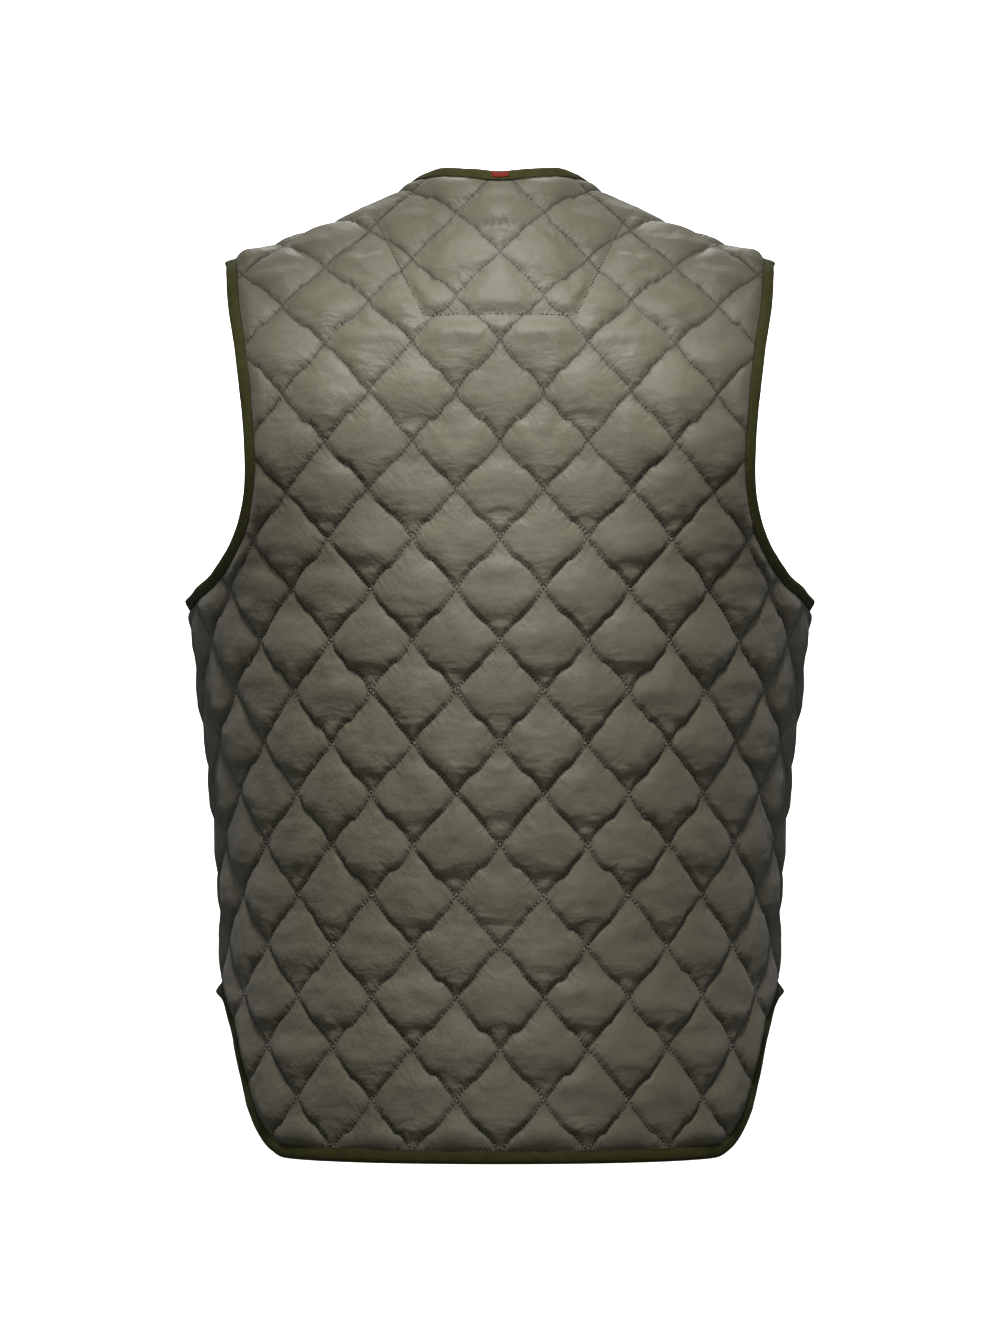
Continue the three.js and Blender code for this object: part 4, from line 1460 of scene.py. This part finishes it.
def gathers(grid, reach, pitch, seed):
    """Streaks that run out from the quilting lines, uneven along them."""
    parts = []
    for away, number, along, _ in grid:
        inputs = {"X": along / pitch, "Y": number * (7.3 + seed), "Z": away * 60}
        vector = add_node(away.tree, "CombineXYZ", "Vector", inputs)
        parts.append(vector.noise(1, 2, 0.5) * fading(away, reach))
    return parts[0] + parts[1]


def needle_hole_shade(grid):
    """1 in the holes between the stitches of the quilting lines, where shade is painted into the
    colour.
    """
    parts = []
    for away, _, along, _ in grid:
        wave = (along * (2 * math.pi * 1000 / STITCH_PITCH)).reckon("COSINE")
        parts.append(wave.reckon("LESS_THAN", -0.35) * away.reckon("LESS_THAN", 0.0009))
    return parts[0].reckon("MAXIMUM", parts[1])


def new_material(name, roughness):
    material = bpy.data.materials.new(name)
    material.use_nodes = True
    shader = material.node_tree.nodes["Principled BSDF"]
    shader.inputs["Roughness"].default_value = roughness
    return material, material.node_tree, shader


def cloth_material(name, roughness, specular, sheen):
    """A new material, its shader and the places on the flat cloth."""
    material, tree, shader = new_material(name, roughness)
    shader.inputs["Specular IOR Level"].default_value = specular
    shader.inputs["Sheen Weight"].default_value = sheen
    flat = tree.nodes.new("ShaderNodeUVMap")
    flat.uv_map = "Cloth"
    return material, shader, Value(tree, flat.outputs["UV"])


def nylon(name, colour, dark):
    """Smooth thin nylon, with painted shade in the grooves and in the needle holes along the
    quilting lines.
    """
    material, shader, flat = cloth_material(name, 0.56, 0.38, 0.12)
    shader.inputs["Sheen Roughness"].default_value = 0.4
    grid = quilting_grid(flat)
    nearest = grid[0][0].reckon("MINIMUM", grid[1][0])
    streak = flat.stretched(900, 120, 1).noise(1, 2, 0.5)
    share = flat.noise(22, 4, 0.6) * 0.5 + flat.noise(160, 3, 0.55) * 0.3 + streak * 0.2
    base = blend(share.limited(2.4, -0.7), dark, colour)
    # Painted shade: the colour darkens in the grooves along the quilting lines, where shade
    # falls.
    base = blend(fading(nearest, 0.0013) * 0.62, base, darker(dark, 0.35))
    # Painted shade: near black in the needle holes between the stitches, where shade falls.
    base = blend(needle_hole_shade(grid) * 0.65, base, (0.008, 0.008, 0.006, 1))
    flecks = flat.stretched(1500, 420, 1).noise(1, 2, 0.6).limited(14, -10.2)
    flecks = flecks.reckon("MULTIPLY", fading(nearest, 0.004) * 1.1 + 0.25, clamp=True)
    plug(shader.inputs["Base Color"], blend(flecks, base, (0.3, 0.29, 0.24, 1)))
    low = (grid[1][3] - grid[0][3]).limited(-1.3, 0.05)
    layers = [
        (flat.stretched(24, 44, 1).noise(1, 2, 0.4), 0.3, 0.006),
        (flat.stretched(60, 170, 1).noise(1, 2, 0.5) * low, 0.3, 0.005),
        (flat.noise(95, 4, 0.6), 0.3, 0.0024),
        (gathers(grid, 0.014, 0.0075, 8.5), 0.25, 0.0022),
        (gathers(grid, 0.005, 0.0028, 1.5), 0.6, 0.0018),
        (flat.stretched(420, 260, 1).noise(1, 3, 0.6), 0.25, 0.0007),
        (weave(flat, 1400), 0.15, 0.0001),
    ]
    add_bump(shader, layers)
    return material


def tape_cloth(name, colour, dark):
    """Matt ribbed tape."""
    material, shader, flat = cloth_material(name, 0.8, 0.2, 0.03)
    plug(shader.inputs["Base Color"], blend(flat.noise(120, 4, 0.6), dark, colour))
    soft = flat.noise(300, 3, 0.5)
    add_bump(shader, [(soft, 0.3, 0.0006), (weave(flat, 900), 0.35, 0.00015)])
    return material


def thread_finish(name, colour):
    material, tree, shader = new_material(name, 0.7)
    place = Value(tree, tree.nodes.new("ShaderNodeTexCoord").outputs["Object"])
    share = place.noise(900, 2, 0.5)
    plug(shader.inputs["Base Color"], blend(share, darker(colour, 0.6), colour))
    return material


def plain_finish(name, colour):
    material, _, shader = new_material(name, 0.9)
    shader.inputs["Base Color"].default_value = colour
    return material


NYLON_COLOURS = ((0.165, 0.154, 0.106, 1), (0.12, 0.112, 0.076, 1))
quilt_cloth = nylon("quilt_nylon", *NYLON_COLOURS)
binding_cloth = tape_cloth("binding_tape", (0.064, 0.062, 0.014, 1), (0.027, 0.027, 0.006, 1))
tab_cloth = tape_cloth("tab_tape", (0.3, 0.03, 0.015, 1), (0.17, 0.016, 0.01, 1))
loop_cloth = tape_cloth("loop_nylon", *NYLON_COLOURS)
quilt_thread = thread_finish("quilt_thread", (0.31, 0.295, 0.225, 1))
# Dark thread of the bindings' edge stitching and the tack stitches, also used for the painted
# shade at the facing line's needle holes
edge_thread_and_hole_shade = thread_finish("edge_thread_and_hole_shade", (0.012, 0.012, 0.006, 1))
tab_thread = thread_finish("tab_thread", (0.12, 0.014, 0.01, 1))


def finish_piece(piece, material, nodes=()):
    piece.data.materials.append(material)
    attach(piece, "root")
    if nodes:
        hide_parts(*nodes)
    return piece


def sew_edge(name, stations, mirror=False):
    return finish_piece(sew_tape(name, stations, mirror), edge_thread_and_hole_shade)


# The panels

back = cut_panel(back_chart, back_edges(), -CLOTH_REACH, CLOTH_REACH)
front = cut_panel(front_chart, front_edges(), -CLOTH_PAST, CLOTH_REACH)
back_piece = finish_piece(pad_panel("quilted_back", back), quilt_cloth, ["back"])
front_left = finish_piece(
    pad_panel("quilted_front_left", front), quilt_cloth, ["front_left"]
)
front_right = finish_piece(
    pad_panel("quilted_front_right", front, True), quilt_cloth, ["front_right"]
)
back_sewing = finish_piece(sew_panel("stitches_back", back), quilt_thread)
# Painted shade: dark blocks at the needle holes of the line through the upper back, in the dark
# thread's finish
facing_hole_shade = finish_piece(paint_facing_hole_shade("needle_hole_shade", back), edge_thread_and_hole_shade)
left_sewing = finish_piece(sew_panel("stitches_front_left", front), quilt_thread)
right_sewing = finish_piece(sew_panel("stitches_front_right", front, True), quilt_thread)

# The bindings

behind = stations_along(back, "armhole_left")
before = stations_along(front, "armhole")
armhole = eased_ring(ring_of_stations(behind, before), 3)
armhole = flared_stations(armhole, UNDERARM, 22, 0.45)
neck = stations_along(back, "neck")
tail = flared_stations(stations_along(back, "tail"), VENT_TOP, 16, 0.55)
front_edge = flared_stations(stations_along(front, "front_edge"), VENT_TOP, 16, 0.65)

armhole_tape, *armhole_shape = fold_tape("tape_armhole_left", armhole, True, 3)
armhole_mirror = mirror_mesh("tape_armhole_right", *armhole_shape)
neck_tape = fold_tape("tape_neck", neck, False, 5)[0]
tail_tape = fold_tape("tape_tail", tail, False, 6)[0]
front_tape, *front_shape = fold_tape("tape_front_left", front_edge, False, 8)
front_mirror = mirror_mesh("tape_front_right", *front_shape)
for tape, node in (
    (armhole_tape, "binding_armhole_left"),
    (armhole_mirror, "binding_armhole_right"),
    (neck_tape, "binding_neck"),
    (tail_tape, "binding_tail"),
    (front_tape, "binding_front_left"),
    (front_mirror, "binding_front_right"),
):
    finish_piece(tape, binding_cloth, [node])
armhole_sewing_left = sew_edge("stitches_armhole_left", armhole)
armhole_sewing_right = sew_edge("stitches_armhole_right", armhole, True)
neck_sewing = sew_edge("stitches_neck", neck)
tail_sewing = sew_edge("stitches_tail", tail)
front_sewing_left = sew_edge("stitches_edge_left", front_edge)
front_sewing_right = sew_edge("stitches_edge_right", front_edge, True)

# The tab and the hanging loop

red_tab = finish_piece(make_tab("red_tab"), tab_cloth, ["neck_tab"])
hanging_loop = finish_piece(make_loop("hanging_loop"), loop_cloth, ["neck_loop"])
tab_sewing = tack_ends("stitches_tab", TAB_HALF, 2.6 - TAB_DROP, 6.2 - TAB_DROP, 2.33, 1)
finish_piece(tab_sewing, tab_thread)
loop_sewing = tack_ends("stitches_loop", LOOP_HALF, -3.9, 0.9, -6.02, -1)
finish_piece(loop_sewing, edge_thread_and_hole_shade)

# Floor, light and camera

PAPER_FLOOR = -2.4
PAPER_WALL = -12.5
PAPER_TOP = 1.4
PAPER_BEND = 0.4
PAPER_HALF = 1.6


def make_backdrop():
    """A paper floor and a far paper wall that bends up from it, in metres."""
    start = PAPER_WALL + PAPER_BEND
    end = PAPER_FLOOR + PAPER_BEND
    profile = [(3.0, PAPER_FLOOR)]
    for i in range(13):
        angle = math.radians(90 * i / 12)
        across = start - PAPER_BEND * math.sin(angle)
        profile.append((across, end - PAPER_BEND * math.cos(angle)))
    profile.append((PAPER_WALL, PAPER_TOP))
    sides = (-PAPER_HALF, PAPER_HALF)
    points = [(x * 1000, y * 1000, z * 1000) for y, z in profile for x in sides]
    faces = []
    for i in range(len(profile) - 1):
        a, b, c, d = 2 * i, 2 * i + 1, 2 * i + 3, 2 * i + 2
        faces += [(a, b, c), (a, c, d)]
    piece = make_mesh("backdrop", points, faces)
    piece.data.materials.append(plain_finish("paper", (0.86, 0.86, 0.85, 1)))
    return piece


def add_light(name, place, target, size, power, spread):
    data = bpy.data.lights.new(name, "AREA")
    data.shape = "RECTANGLE"
    data.size, data.size_y = size
    data.energy = power
    data.spread = math.radians(spread)
    lamp = add_object(name, data)
    way = np.array(target, float) - np.array(place, float)
    lamp.location = place
    flat_length = math.hypot(way[0], way[1])
    lamp.rotation_euler = (
        math.atan2(flat_length, -way[2]),
        0,
        math.atan2(way[1], way[0]) - math.pi / 2,
    )


# Name, place, target, size, power in watts and spread in degrees
LAMPS = [
    ("key", (0, 1.0, 1.35), (0, 0.1, -0.34), (0.4, 0.3), 1.19, 24.5),
    ("fill", (0, 1.5, 0.0), (0, 0.1, -0.42), (0.4, 0.4), 0.89, 90),
    ("backdrop_light", (0, -10.5, 1.8), (0, -12.5, -0.7), (3.0, 0.5), 420, 180),
    ("side_left", (1.9, -0.5, -0.1), (0.2, 0, -0.38), (0.5, 0.8), 0.35, 60),
    ("side_right", (-1.9, -0.5, -0.1), (-0.2, 0, -0.38), (0.5, 0.8), 0.35, 60),
    ("front_key", (0, -1.3, 1.2), (0, -0.1, -0.3), (0.4, 0.3), 1.3, 26),
    ("front_fill", (0, -1.7, 0.1), (0, -0.1, -0.4), (0.4, 0.4), 0.6, 90),
]
make_backdrop()
for lamp_row in LAMPS:
    add_light(*lamp_row)

bpy.context.scene.view_settings.view_transform = "Standard"
world = bpy.data.worlds.new("studio")
bpy.context.scene.world = world
world.use_nodes = True
world.node_tree.nodes["Background"].inputs[0].default_value = (1, 1, 1, 1)
world.node_tree.nodes["Background"].inputs[1].default_value = 0.05

camera_data = bpy.data.cameras.new("camera")
camera_data.sensor_fit = "HORIZONTAL"
camera_data.sensor_width = 36
camera_data.lens = 300
camera_data.clip_end = 50
camera = add_object("camera", camera_data)
camera.location = (0, 6.0, -0.324)
camera.rotation_euler = (math.pi / 2, 0, math.pi)
bpy.context.scene.camera = camera
